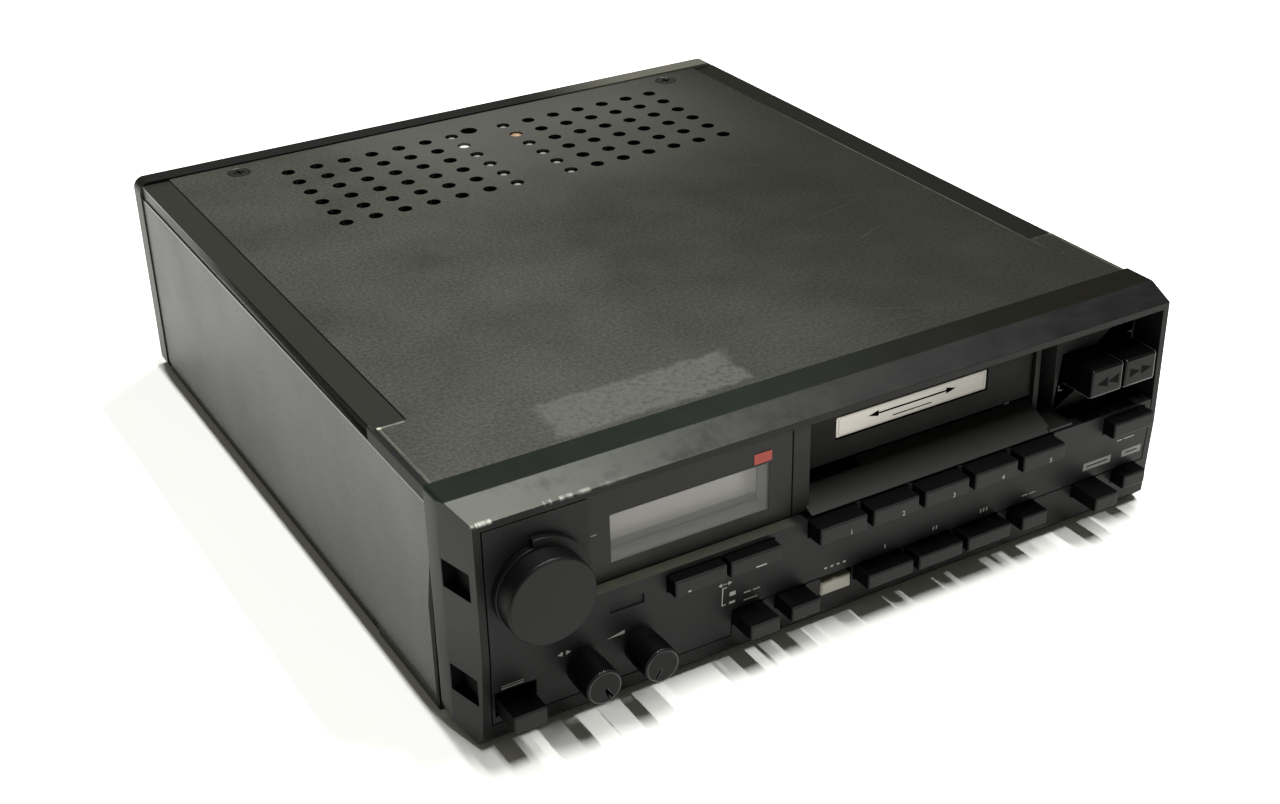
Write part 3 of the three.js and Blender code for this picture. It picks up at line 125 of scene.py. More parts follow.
class Finish:  # a material, with short ways to add its nodes
    def __init__(self, name, roughness=0.5, metallic=0.0, **constants):
        self.material = bpy.data.materials.new(name)
        self.material.use_nodes = True
        self.tree = self.material.node_tree
        self.tree.nodes.clear()
        self.shader = self.tree.nodes.new("ShaderNodeBsdfPrincipled")
        output = self.tree.nodes.new("ShaderNodeOutputMaterial")
        self.tree.links.new(self.shader.outputs[0], output.inputs["Surface"])
        self.shader.inputs["Roughness"].default_value = roughness
        self.shader.inputs["Metallic"].default_value = metallic
        for key, value in constants.items():
            self.shader.inputs[key.replace("_", " ")].default_value = value
        texture = self.tree.nodes.new("ShaderNodeTexCoord")
        self.place = Reading(self, texture.outputs["Object"])
        self.facing = Reading(self, texture.outputs["Normal"])
        self.axes = None

    def node(self, kind, settings=None, values=None, out=0):
        node = self.tree.nodes.new(kind)
        for key, value in (settings or {}).items():
            if key == "stops":
                ramp = node.color_ramp
                while len(ramp.elements) < len(value):
                    ramp.elements.new(0.5)
                for element, (position, colour) in zip(ramp.elements, value):
                    element.position = position
                    element.color = (*colour, 1)
            else:
                setattr(node, key, value)
        for key, value in (values or {}).items():
            self.feed(node.inputs[key], value)
        return Reading(self, node.outputs[out])

    def feed(self, socket, value):
        if isinstance(value, Reading):
            self.tree.links.new(value.socket, socket)
        elif isinstance(value, (tuple, list)) and socket.type == "RGBA":
            socket.default_value = (*value, 1)
        else:
            socket.default_value = value

    def maths(self, operation, *values):
        return self.node("ShaderNodeMath", {"operation": operation}, dict(enumerate(values)))

    def split(self):  # x, inward and z in millimetres
        if self.axes is None:
            parts = self.tree.nodes.new("ShaderNodeSeparateXYZ")
            self.tree.links.new(self.place.socket, parts.inputs[0])
            x, y, z = (Reading(self, parts.outputs[i]) for i in range(3))
            self.axes = (x / mm, (y - rimY) / mm, z / mm)
        return self.axes

    def towards(self, axis, sign=1):  # how far a face looks along an axis
        parts = self.node("ShaderNodeSeparateXYZ", {}, {0: self.facing}, out=axis)
        return parts * sign

    def grain(self, size, detail=2.0, roughness=0.5, stretch=None):  # noise with features of about size mm
        place = self.place
        if stretch:
            place = self.node("ShaderNodeMapping", {}, {"Vector": place, "Scale": stretch})
        return self.node(
            "ShaderNodeTexNoise",
            {},
            {"Vector": place, "Scale": 1 / (size * mm), "Detail": detail, "Roughness": roughness},
        )

    def blend(self, factor, first, second, kind="MIX"):  # colours
        mixed = self.tree.nodes.new("ShaderNodeMix")
        mixed.data_type = "RGBA"
        mixed.blend_type = kind
        self.feed(mixed.inputs["Factor"], factor)
        self.feed(mixed.inputs[6], first)
        self.feed(mixed.inputs[7], second)
        return Reading(self, mixed.outputs[2])

    def ramp(self, value, *stops):
        return self.node("ShaderNodeValToRGB", {"stops": stops}, {"Fac": value})

    def paint(self, colour, roughness=None, bumps=None, depth=0.05, strength=0.5):
        self.feed(self.shader.inputs["Base Color"], colour)
        if roughness is not None:
            self.feed(self.shader.inputs["Roughness"], roughness)
        if bumps is not None:
            normal = self.node(
                "ShaderNodeBump", {}, {"Height": bumps, "Distance": depth * mm, "Strength": strength}
            )
            self.tree.links.new(normal.socket, self.shader.inputs["Normal"])
        return self.material


def grey(level, tint=(1, 1, 1)):
    return tuple(level * part for part in tint)


def mouldedPlastic(name, level, roughness=0.45, tint=(1, 1, 1), grainSize=0.5, relief=0.02, mottle=0.18,
                   shine=0.3):
    finish = Finish(name, roughness, Specular_IOR_Level=shine)
    cloud = finish.grain(9, 3)
    speck = finish.grain(grainSize, 2)
    dark = grey(level * (1 - mottle), tint)
    light = grey(level * (1 + mottle), tint)
    colour = finish.blend(cloud * 0.7 + speck * 0.3, dark, light)
    wipe = finish.grain(14, 4, 0.6, stretch=(1, 1, 3))
    return finish.paint(colour, (wipe - 0.5) * 0.3 + roughness, speck, relief, 0.6)


def metalSheet(name, level, roughness=0.35, tint=(1, 1, 1)):
    finish = Finish(name, roughness, 1.0)
    brushed = finish.grain(0.8, 3, 0.6, stretch=(1, 12, 1))
    cloud = finish.grain(12, 3)
    colour = finish.blend(cloud, grey(level * 0.8, tint), grey(level * 1.15, tint))
    return finish.paint(colour, brushed * 0.25 + (roughness - 0.1), brushed, 0.01, 0.5)


coat = {
    "base": (0.027, 0.0275, 0.0225),
    "worn": (0.039, 0.040, 0.032),
    "deep": (0.010, 0.0105, 0.0085),
    # painted shade for the right of the top
    "right": (0.0055, 0.0058, 0.0046),
    # painted highlight for the back of the middle of the top
    "pale": (0.062, 0.062, 0.056),
    "strip": (0.0145, 0.0150, 0.0130),
    "stripRight": (0.0020, 0.0021, 0.0018),
    "sideStrip": (0.030, 0.031, 0.027),
    "residue": (0.055, 0.056, 0.046),
    # painted shade for the folded edges
    "fold": (0.0022, 0.0024, 0.0020),
    # painted shadow behind the nose
    "gap": (0.0008, 0.0008, 0.0008),
    "roughness": 0.42,
    "stripRoughness": 0.24,
    "top": 57.3,
    "stripInner": 85.75,
    "stripFront": 42.9,
    "foldBottom": 53.55,
    "paleAcross": (-35, 70, 22),
    "patchAcross": (-61, -14, 1.5),
    "patchInward": (19, 33.5, 1),
}


def stuckPatch(finish, x, inward, z):  # what was stuck to the front left of the top and came off
    ragged = finish.grain(7, 4, 0.65)
    inside = (x + (ragged - 0.5) * 9).within(*coat["patchAcross"])
    inside = inside * (inward + (ragged - 0.5) * 5).within(*coat["patchInward"])
    crumbs = finish.grain(1.6, 4, 0.7)
    return inside * (crumbs.above(0.44, 0.12) * 0.75 + 0.2) * z.above(coat["top"], 0.05)


def rubbedFolds(finish, colour, x, inward, z):  # painted shade on the folds, a painted highlight along the outer crease, and rubbed bright chips at the strips' front ends, stronger at the left
    # painted shade on the folded edges
    bendShade = abs(finish.towards(0)).within(0.16, 0.95, 0.06) * z.above(54, 0.5)
    colour = finish.blend(bendShade, colour, coat["fold"])
    fold = abs(x).above(92.9, 0.1) * z.above(coat["foldBottom"], 0.1) * inward.within(15, 45.9, 0.2)
    colour = finish.blend(fold, colour, coat["fold"])
    chips = finish.grain(3.2, 4, 0.6, stretch=(1, 0.25, 1)).above(0.45, 0.1) * 0.7 + 0.3
    creaseHighlight = abs(x).within(91.75, 92.15, 0.12) * inward.within(16.6, 42.8, 0.2)
    end = inward.within(42.3, 42.75, 0.1) * abs(x).within(86.2, 92.1, 0.2)
    corner = abs(x).within(91.5, 92.4, 0.1) * inward.within(42.1, 43.0, 0.1)
    left = x.below(0, 1) * 0.85 + 0.15
    # painted highlight along the outer crease
    colour = finish.blend(creaseHighlight * chips * 0.16, colour, (0.30, 0.30, 0.25))
    colour = finish.blend(end * chips * left * 0.32, colour, (0.40, 0.40, 0.34))
    return finish.blend(corner * left, colour, (0.32, 0.32, 0.26)), fold


def hairScratches(finish):
    wander = finish.grain(24, 2, 0.4) * 6
    turned = finish.node(
        "ShaderNodeMapping", {}, {"Vector": finish.place, "Scale": (1, 2.4, 1), "Rotation": (0, 0, 0.5)}
    )
    cells = finish.node(
        "ShaderNodeTexVoronoi", {"feature": "DISTANCE_TO_EDGE"}, {"Vector": turned, "Scale": 17.0}
    )
    return (cells + (wander - 3) * 0.002).below(0.004, 0.003) * finish.grain(30, 3).above(0.56, 0.05)


def coverCoat():
    finish = Finish("cover_coat", coat["roughness"], Specular_IOR_Level=0.38)
    x, inward, z = finish.split()
    cloud = finish.grain(38, 4, 0.55)
    leather = finish.grain(0.9, 3, 0.6)
    fine = finish.grain(0.45, 2)
    colour = finish.ramp(cloud, (0.3, coat["deep"]), (0.5, coat["base"]), (0.75, coat["worn"]))
    colour = finish.blend(0.45, colour, coat["base"])
    across = x.rise(-45, 60)
    colour = finish.blend(across * 0.85, colour, coat["right"])  # painted shade: darker to the right, where less light falls
    pitted = finish.ramp(leather, (0.36, (0.55, 0.55, 0.55)), (0.64, (1.35, 1.35, 1.33)))
    colour = finish.blend(0.8, colour, pitted, "MULTIPLY")
    middle = x.within(*coat["paleAcross"])  # the back of the middle is painted palest, as a painted highlight
    pale = z.above(coat["top"], 0.05) * middle * inward.above(150, 40)
    colour = finish.blend(pale * 0.5, colour, coat["pale"])
    residue = stuckPatch(finish, x, inward, z)
    colour = finish.blend(residue * 0.75, colour, coat["residue"])

    # smooth darker strips along the edges
    strip = z.below(57.4, 0.06) * abs(x).below(93.3, 0.06) * inward.above(coat["stripFront"], 0.2)
    strip = strip * z.above(56.6, 0.1)
    sideStrip = abs(x).below(93.8, 0.06) * (z.within(53.0, 57.0, 0.1) + z.within(0, 3.6, 0.1))
    sideStrip = sideStrip * (1 - strip) * abs(x).above(93.4, 0.06)
    # painted shade: the strips at the right are painted darker than those at the left
    colour = finish.blend(strip, colour, finish.blend(x.above(0, 2), coat["strip"], coat["stripRight"]))
    # painted highlight: a broken lighter line along the lit step at the inner edge of the right strips
    stepHighlight = x.within(85.1, coat["stripInner"], 0.12) * inward.within(46, 150, 14)
    stepHighlight = stepHighlight * finish.grain(9, 4, 0.6).above(0.4, 0.15)
    colour = finish.blend(stepHighlight * 0.6, colour, (0.10, 0.092, 0.082))
    # painted light: the side and foot strips are lighter than the top strips, for the light they catch
    colour = finish.blend(sideStrip, colour, coat["sideStrip"])
    colour, fold = rubbedFolds(finish, colour, x, inward, z)

    # the cover's front edge leans back at each side; the shadow of the opening it leaves behind the nose is
    # painted onto the cover as a dark wedge
    gap = 20.2 - z.rise(27, 43) * 3.6
    gap = abs(x).above(93.0, 0.05) * (inward - gap).below(0, 0.15) * z.below(43, 0.3)
    colour = finish.blend(gap, colour, coat["gap"])
    colour = finish.blend(hairScratches(finish) * 0.35, colour, (0.03, 0.03, 0.027))

    behind = inward.rise(110, 190) * middle
    patchy = finish.grain(20, 3) * 0.14 + (coat["roughness"] - 0.07) - across * 0.10 + behind * 0.07
    smooth = strip + sideStrip
    roughness = patchy * (1 - smooth) + smooth * coat["stripRoughness"]
    roughness = roughness + residue * 0.15 + gap * 0.5 + fold * 0.45
    bumps = (leather + fine * 0.6) * (1 - smooth) + fine * 0.12 + residue * 0.6
    return finish.paint(colour, roughness, bumps, 0.06, 0.7)


brow = {
    "black": (0.0020, 0.0023, 0.0024),
    "rubbed": (0.075, 0.079, 0.068),
    "bright": (0.42, 0.43, 0.39),
    "flatDark": (0.004, 0.0055, 0.004),
    "flatGreen": (0.010, 0.013, 0.010),
    "flatOlive": (0.0032, 0.0030, 0.0020),
}
nose = {"half": 94.0, "cheekInset": 2.7, "cheekDepth": 11.2}
keyPocket = {"front": 2.0, "back": 10.6, "bottoms": (11.6, 37.4), "height": 6.6, "margin": 0.08}


def bezelBlack():
    finish = Finish("bezel_black", 0.4, Specular_IOR_Level=0.12)
    x, inward, z = finish.split()
    cloud = finish.grain(16, 3)
    fine = finish.grain(0.5, 2)
    colour = finish.blend(cloud * 0.8 + fine * 0.2, grey(0.006), grey(0.011))

    # the brow: flat behind, sloping in front; the slope is rubbed pale in patches, and a painted highlight
    # makes the rubbing stronger towards its left end
    top = z.above(55.9, 0.08) * finish.towards(2).above(0.6, 0.2)
    slope = top * inward.below(8.1, 0.15)
    flat = top * inward.above(8.2, 0.15)
    leftward = x.rise(30, -84)
    smear = finish.grain(8, 5, 0.62, stretch=(0.5, 1.0, 1))
    fleck = finish.grain(2.4, 5, 0.65, stretch=(1, 0.6, 1))
    green = finish.blend(cloud, brow["flatDark"], brow["flatGreen"])
    # painted shade: the flat turns darker olive towards the right
    colour = finish.blend(flat, colour, finish.blend(x.above(10, 40), green, brow["flatOlive"]))
    rubAndSheen = (smear * 0.65 + fleck * 0.35 + leftward * 0.3 - 0.2).above(0.42, 0.16)
    worn = finish.blend(rubAndSheen * (leftward ** 2.2 * 0.95 + 0.05), brow["black"], brow["rubbed"])
    colour = finish.blend(slope, colour, worn)

    # the brow's front edge, worn through in dashes at the left
    edge = inward.below(0.8, 0.3) * z.within(55.6, 56.6, 0.2) * x.below(-70, 16)
    dashes = (finish.grain(5, 5, 0.75, stretch=(1, 0.05, 0.05)) + fleck * 0.3).above(0.68, 0.07)
    colour = finish.blend(edge * dashes, colour, brow["bright"])

    # the pockets for the removal keys are painted near-black inside: painted shade for their depth
    lean = nose["cheekInset"] / nose["cheekDepth"]
    cheek = abs(x) - (nose["half"] - nose["cheekInset"]) - inward * lean
    margin = keyPocket["margin"]
    tall = keyPocket["height"] + margin
    low, high = (z.within(bottom - margin, bottom + tall, 0.03) for bottom in keyPocket["bottoms"])
    deep = inward.within(keyPocket["front"] - margin, keyPocket["back"] + margin, 0.03)
    pocketShade = cheek.below(-0.15, 0.1) * deep * (low + high) * abs(x).above(89.6, 0.1)
    colour = finish.blend(pocketShade, colour, grey(0.0006))

    roughness = finish.grain(9, 4, 0.6) * 0.12 + 0.32 + slope * ((smear - 0.5) * 0.3 + 0.06)
    roughness = roughness + pocketShade * 0.5 - top * x.above(50, 30) * 0.08
    return finish.paint(colour, roughness, fine * 0.6 + smear * slope * 0.6, 0.02, 0.5)


def keyPlastic(name, face, side, roughness, sideRoughness, shine=0.3):  # matt grey front, near-black sides
    finish = Finish(name, roughness, Specular_IOR_Level=shine)
    front = finish.towards(1, -1).above(0.75, 0.12)
    cloud = finish.grain(5, 3)
    fine = finish.grain(0.35, 2)
    faceTone = finish.blend(cloud, grey(face * 0.9), grey(face * 1.12, (1, 1, 1.02)))
    sideTone = finish.blend(cloud, grey(side * 0.8), grey(side * 1.2))
    colour = finish.blend(front, sideTone, faceTone)
    spread = front * (roughness - sideRoughness) + sideRoughness + (cloud - 0.5) * 0.12
    return finish.paint(colour, spread, fine, 0.012, 0.5)


def panelBlack():
    finish = Finish("panel_black", 0.46, Specular_IOR_Level=0.14)
    x, _, z = finish.split()
    cloud = finish.grain(9, 3)
    fine = finish.grain(0.45, 2)
    colour = finish.blend(cloud * 0.7 + fine * 0.3, (0.0085, 0.0084, 0.0088), (0.0135, 0.0133, 0.0138))
    ledgeDustAndLight = finish.towards(2).above(0.8, 0.1) * z.above(28, 0.3) * x.below(-15, 1)  # ledge under the display: painted lighter on its top, partly dust and partly painted light
    dust = finish.grain(3, 4, 0.6)
    colour = finish.blend(ledgeDustAndLight * (dust * 0.5 + 0.5), colour, (0.060, 0.062, 0.046))
    return finish.paint(colour, (cloud - 0.5) * 0.14 + 0.46, fine, 0.012, 0.6)


def windingEdge():  # painted highlight: the rounded edges of the winding keys are painted light where they face right and down
    finish = Finish("edge_gloss", 0.24, Specular_IOR_Level=0.14)
    fine = finish.grain(0.4, 2)
    paintedShine = finish.towards(0).above(0.25, 0.2) + finish.towards(2, -1).above(0.25, 0.2)
    colour = finish.blend(paintedShine.below(0.5, 0.3), grey(0.115), grey(0.0025))
    return finish.paint(colour, fine * 0.1 + 0.2, fine, 0.004, 0.3)


def displayPlastic():
    finish = Finish("display_plastic", 0.4, Specular_IOR_Level=0.16)
    x, inward, z = finish.split()
    fine = finish.grain(0.45, 2)
    cloud = finish.grain(8, 3)
    colour = finish.blend(cloud, grey(0.012), grey(0.017))
    well = inward.within(3.15, 8.5, 0.05) * x.within(-60, -19, 0.3) * z.within(34, 47, 0.3)
    colour = finish.blend(well, colour, (0.17, 0.17, 0.165))
    return finish.paint(colour, (cloud - 0.5) * 0.15 + 0.42, fine, 0.015, 0.5)


def crystalGlass():
    finish = Finish("liquid_crystal", 0.25)
    x, _, z = finish.split()
    cloud = finish.grain(12, 3)
    fine = finish.grain(0.3, 2)
    glass = finish.blend(cloud, (0.25, 0.234, 0.22), (0.30, 0.284, 0.268))
    shade = z.below(36.6, 0.25)
    colour = finish.blend(shade * 0.55, glass, (0.06, 0.06, 0.058))
    frameBand = 1 - x.within(-59.6, -20.2, 0.1) * z.within(34.6, 46.4, 0.1)
    colour = finish.blend(frameBand, colour, (0.06, 0.06, 0.06))
    return finish.paint(colour, cloud * 0.1 + 0.2, fine, 0.004, 0.4)


def clearLens():
    finish = Finish("display_lens", 0.3, 0.0, Alpha=0.10)
    dust = finish.grain(1.5, 4, 0.7)
    return finish.paint(finish.blend(dust, (0.5, 0.5, 0.5), (0.62, 0.62, 0.6)), dust * 0.1 + 0.25)


def platedLabel():
    finish = Finish("label_silver", 0.34, 0.75)
    x, _, z = finish.split()
    brushed = finish.grain(0.5, 3, 0.6, stretch=(0.05, 1, 1))
    cloud = finish.grain(11, 3)
    # painted reflection: the plate is painted lighter towards its left end
    leftward = x.rise(44, 2)
    colour = finish.blend(leftward * 0.75 + cloud * 0.25, (0.20, 0.192, 0.175), (0.46, 0.44, 0.40))
    ends = abs(x - 23.05).within(20.45, 20.8, 0.06)
    rules = z.below(42.75, 0.04) + z.above(46.95, 0.04)
    colour = finish.blend((ends + rules).below(1, 0.01) * (ends + rules) * 0.6, colour, (0.08, 0.08, 0.075))
    return finish.paint(colour, brushed * 0.2 + 0.26, brushed, 0.006, 0.4)


def circuitBoard():
    finish = Finish("circuit_board", 0.4)
    trace = finish.node(
        "ShaderNodeTexVoronoi", {"feature": "DISTANCE_TO_EDGE"}, {"Vector": finish.place, "Scale": 260.0}
    )
    colour = finish.blend(trace.below(0.09, 0.03), (0.006, 0.014, 0.006), (0.010, 0.020, 0.009))
    return finish.paint(colour, finish.grain(6) * 0.2 + 0.3, trace.below(0.09, 0.05), 0.03, 0.5)


def castMetal():
    finish = Finish("heatsink_cast", 0.5, 0.55)
    pits = finish.grain(0.8, 3, 0.6)
    cloud = finish.grain(18, 3)
    colour = finish.blend(cloud, (0.030, 0.031, 0.029), (0.055, 0.056, 0.052))
    x, _, z = finish.split()
    rim = z.above(56.6, 0.3)
    # painted reflection: the top of the rim is painted black at the left and light towards the right
    rimReflection = finish.blend(x.above(46, 20), (0.006, 0.0062, 0.0070), (0.12, 0.12, 0.10))
    colour = finish.blend(rim, colour, rimReflection)
    return finish.paint(colour, pits * 0.2 + 0.38 - rim * 0.12, pits * (1 - rim * 0.7), 0.05, 0.6)


def beltRubber():
    finish = Finish("belt_rubber", 0.7)
    cloud = finish.grain(4, 3)
    colour = finish.blend(cloud, grey(0.012), grey(0.02))
    return finish.paint(colour, cloud * 0.15 + 0.6, finish.grain(0.4), 0.02)


def printInk(name, colour, roughness=0.5, shine=0.4):
    finish = Finish(name, roughness, Specular_IOR_Level=shine)
    patchy = finish.grain(0.8, 4, 0.7)
    worn = tuple(part * 0.72 for part in colour)
    return finish.paint(finish.blend(patchy, worn, colour), patchy * 0.15 + roughness)


finishes = {
    "bezel_black": bezelBlack(),
    "panel": panelBlack(),
    "surround": mouldedPlastic("surround_black", 0.009, 0.5, (1, 1.02, 0.95), 0.5, 0.012, 0.18, 0.2),
    "recess": mouldedPlastic("recess_black", 0.024, 0.5, (1, 1, 1), 0.5, 0.02, 0.18, 0.15),
    "door": mouldedPlastic("door_black", 0.007, 0.5, (1, 1, 0.95), 0.5, 0.01, 0.18, 0.1),
    "key_grey": keyPlastic("key_grey", 0.015, 0.004, 0.5, 0.5, 0.13),
    "winding_key": keyPlastic("winding_key", 0.0075, 0.002, 0.36, 0.2, 0.10),
    "key_pale": mouldedPlastic("key_pale", 0.30, 0.45, (1, 0.96, 0.82), 0.4, 0.01),
    "key_sides": mouldedPlastic("key_sides", 0.0024, 0.65, (1, 1, 0.98), 0.35, 0.012, 0.3, 0.03),
    # painted shade: the knobs' sides are darker than their faces, for the light that misses them
    "knob": keyPlastic("knob_black", 0.012, 0.003, 0.45, 0.4, 0.12),
    "small_knob": keyPlastic("small_knob_black", 0.007, 0.002, 0.42, 0.45, 0.09),
    "display_plastic": displayPlastic(),
    "liquid_crystal": crystalGlass(),
    "display_lens": clearLens(),
    "label_silver": platedLabel(),
    "cover_coat": coverCoat(),
    "plated_steel": metalSheet("plated_steel", 0.55, 0.38, (1, 0.98, 0.9)),
    "screw_black": metalSheet("screw_black", 0.05, 0.4),
    "heatsink_cast": castMetal(),
    "socket_metal": metalSheet("socket_metal", 0.32, 0.42),
    "clamp_zinc": mouldedPlastic("clamp_zinc", 0.15, 0.4, (1, 1, 0.96), 0.6, 0.02, 0.3, 0.4),
    "rivet_brass": mouldedPlastic("rivet_brass", 0.22, 0.35, (1, 0.66, 0.36), 0.5, 0.01, 0.15, 0.6),
    "rivet_pale": mouldedPlastic("rivet_pale", 0.50, 0.3, (1, 1, 0.92), 0.5, 0.01, 0.1, 0.6),
    "connector_plastic": mouldedPlastic("connector_plastic", 0.35, 0.5, (1, 0.97, 0.88)),
    "holder_black": mouldedPlastic("holder_black", 0.018, 0.4),
    "circuit": circuitBoard(),
    "chip_black": mouldedPlastic("chip_black", 0.015, 0.6),
    "brass_turned": metalSheet("brass_turned", 0.6, 0.25, (1, 0.78, 0.42)),
    "motor_can": metalSheet("motor_can", 0.5, 0.3),
    "reel_black": mouldedPlastic("reel_black", 0.015, 0.4),
    "belt_rubber": beltRubber(),
    "head_metal": metalSheet("head_metal", 0.65, 0.15),
    "ink_pale": printInk("ink_pale", (0.36, 0.36, 0.34)),
    "ink_dim": printInk("ink_dim", (0.20, 0.20, 0.195)),
    "ink_worn": printInk("ink_worn", (0.0022, 0.0021, 0.0020), 0.55, 0.04),
    "ink_dark": printInk("ink_dark", (0.0012, 0.0012, 0.0012), 0.6, 0.0),
    "badge_red": printInk("badge_red", (0.42, 0.055, 0.035)),
    # painted highlight: a lighter rim for the small knobs' front edges
    "edge_worn": mouldedPlastic("edge_worn", 0.022, 0.3),
    "edge_gloss": windingEdge(),
}
print("finishes made", len(finishes))

# carried-over nodes keep their mesh and take the finish of their record slot
for name, node in nodes.items():
    for slotIndex, material in enumerate(node.data.materials):
        key = material.name.split(".")[0] if material else ""
        node.data.materials[slotIndex] = finishes.get(key, finishes["plated_steel"])
print("slots", sorted({(m.name if m else "none") for node in nodes.values() for m in node.data.materials}))


# pieces made from the frame's nodes
def settle(piece):  # turns live modifiers into a plain mesh
    depsgraph = bpy.context.evaluated_depsgraph_get()
    mesh = bpy.data.meshes.new_from_object(piece.evaluated_get(depsgraph))
    piece.modifiers.clear()
    piece.data = mesh
    return piece


def smoothSides(mesh, angle=35):
    for face in mesh.polygons:
        face.use_smooth = True
    mesh.set_sharp_from_angle(angle=math.radians(angle))


def newPiece(name, mesh, body, *surfaces):
    for surface in surfaces:
        mesh.materials.append(finishes[surface])
    piece = bpy.data.objects.new(name, mesh)
    bpy.context.scene.collection.objects.link(piece)
    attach(piece, body)
    return piece


def mergedCopy(nodeName):
    shape = bmesh.new()
    shape.from_mesh(nodes[nodeName].data)
    bmesh.ops.remove_doubles(shape, verts=shape.verts, dist=0.00001)
    bmesh.ops.dissolve_limit(
        shape, angle_limit=math.radians(0.6), verts=shape.verts, edges=shape.edges, delimit={"NORMAL"}
    )
    mesh = bpy.data.meshes.new(nodeName + "_dressed")
    shape.to_mesh(mesh)
    shape.free()
    return mesh


def roundEdges(piece, width, segments=2, angle=35, material=-1):
    smoothSides(piece.data, angle)
    rounding = piece.modifiers.new("edges", "BEVEL")
    rounding.width = width * mm
    rounding.segments = segments
    rounding.limit_method = "ANGLE"
    rounding.angle_limit = math.radians(angle)
    rounding.use_clamp_overlap = True
    rounding.material = material
    shading = piece.modifiers.new("shading", "WEIGHTED_NORMAL")  # flat faces stay flat beside round edges
    shading.mode = "FACE_AREA"
    shading.weight = 50
    shading.keep_sharp = True
    settle(piece)


def dress(nodeName, surface, slotName, bevel=0.25, edge=None, sides=None):
    mesh = mergedCopy(nodeName)
    surfaces = [surface] + [name for name in (edge, sides) if name]
    piece = newPiece("dressed_" + nodeName, mesh, bodyOf[nodeName], *surfaces)
    if sides:  # every face but the front takes its own finish
        for face in mesh.polygons:
            face.material_index = 0 if face.normal.y < -0.6 else len(surfaces) - 1
    roundEdges(piece, bevel, 2, 35, 1 if edge else -1)
    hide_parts(nodeName)
    return piece


dressed = {  # surface, record slot, width of the edges, finish of the edges, finish of all but the front
    "front_bezel": ("bezel_black", "bezel_black", 0.3, None, None),
    "control_panel": ("panel", "bezel_black", 0.15, None, None),
    "display_panel": ("display_plastic", "bezel_black", 0.12, None, None),
    "cassette_surround": ("surround", "bezel_black", 0.2, None, None),
    "recess_plate": ("recess", "bezel_black", 0.15, None, None),
    "cassette_door": ("door", "bezel_black", 0.25, None, None),
    "door_label": ("label_silver", "label_silver", 0.1, None, None),
    "volume_knob": ("knob", "key_grey", 0.3, None, None),
    "fader_ring": ("knob", "key_grey", 0.2, None, None),
    "balance_knob": ("small_knob", "key_grey", 0.2, "edge_worn", None),
    "tone_knob": ("small_knob", "key_grey", 0.2, "edge_worn", None),
    "memo_button": ("key_pale", "key_pale", 0.18, None, None),
    "rewind_button": ("winding_key", "winding_key", 0.28, "edge_gloss", None),
    "fast_forward_button": ("winding_key", "winding_key", 0.28, "edge_gloss", None),
}
greyKeys = [
    "preset_1_button", "preset_2_button", "preset_3_button", "preset_4_button", "preset_5_button",
    "tune_down_button", "tune_up_button", "program_button", "loud_button", "seek_button", "mono_button",
    "band_1_button", "band_2_button", "band_3_button", "local_button", "metal_button", "search_button",
]
for key in greyKeys:
    dressed[key] = ("key_grey", "key_grey", 0.16, None, "key_sides")
for nodeName, choices in dressed.items():
    dress(nodeName, *choices)
for nodeName, surface in (("front_board", "holder_black"), ("clamp_bracket", "clamp_zinc")):
    surfaces = nodes[nodeName].data.materials
    for slotIndex in range(len(surfaces)):
        surfaces[slotIndex] = finishes[surface]
print("dressed", len(dressed), "nodes")


# geometry nodes
class Recipe:  # a geometry nodes tree with named inputs
    def __init__(self, name, **inputs):
        self.tree = bpy.data.node_groups.new(name, "GeometryNodeTree")
        outside = self.tree.interface
        outside.new_socket("Geometry", in_out="OUTPUT", socket_type="NodeSocketGeometry")
        outside.new_socket("Geometry", in_out="INPUT", socket_type="NodeSocketGeometry")
        self.sockets = {}
        for label, kind in inputs.items():
            self.sockets[label] = outside.new_socket(label, in_out="INPUT", socket_type="NodeSocket" + kind)
        self.start = self.tree.nodes.new("NodeGroupInput")
        self.end = self.tree.nodes.new("NodeGroupOutput")

    def given(self, label):
        return self.start.outputs[label]

    def node(self, kind, settings=None, values=None, out=0):
        node = self.tree.nodes.new(kind)
        for key, value in (settings or {}).items():
            setattr(node, key, value)
        for key, value in (values or {}).items():
            socket = node.inputs[key]
            if isinstance(value, bpy.types.NodeSocket):
                self.tree.links.new(value, socket)
            else:
                socket.default_value = value
        return node.outputs[out]

    def maths(self, operation, *values):
        return self.node("ShaderNodeMath", {"operation": operation}, dict(enumerate(values)))

    def triple(self, *parts):  # a vector from its parts
        return self.node("ShaderNodeCombineXYZ", {}, dict(enumerate(parts)))

    def scatter(self, points, shape, **values):  # the shape on every point
        return self.node("GeometryNodeInstanceOnPoints", {}, {"Points": points, "Instance": shape, **values})

    def move(self, geometry, **values):
        return self.node("GeometryNodeTransform", {}, {"Geometry": geometry, **values})

    def grid(self, across, deep):  # points in columns and rows
        return self.node("GeometryNodeMeshGrid", {}, {
            "Size X": across, "Size Y": deep,
            "Vertices X": self.given("Columns"), "Vertices Y": self.given("Rows")})

    def box(self, *labels):  # a block whose sides are three of the inputs
        size = self.triple(*(self.given(label) for label in labels))
        return self.node("GeometryNodeMeshCube", {}, {"Size": size})

    def ending(self, geometry):  # the last two nodes, with the material of the Finish input
        real = self.node("GeometryNodeRealizeInstances", {}, {"Geometry": geometry})
        surface = self.given("Finish")
        coated = self.node("GeometryNodeSetMaterial", {}, {"Geometry": real, "Material": surface})
        self.tree.links.new(coated, self.end.inputs[0])
        return self

    def grow(self, piece, **values):  # runs the tree on a piece, and leaves a plain mesh
        modifier = piece.modifiers.new(self.tree.name, "NODES")
        modifier.node_group = self.tree
        for label, value in values.items():
            modifier[self.sockets[label].identifier] = value
        return settle(piece)


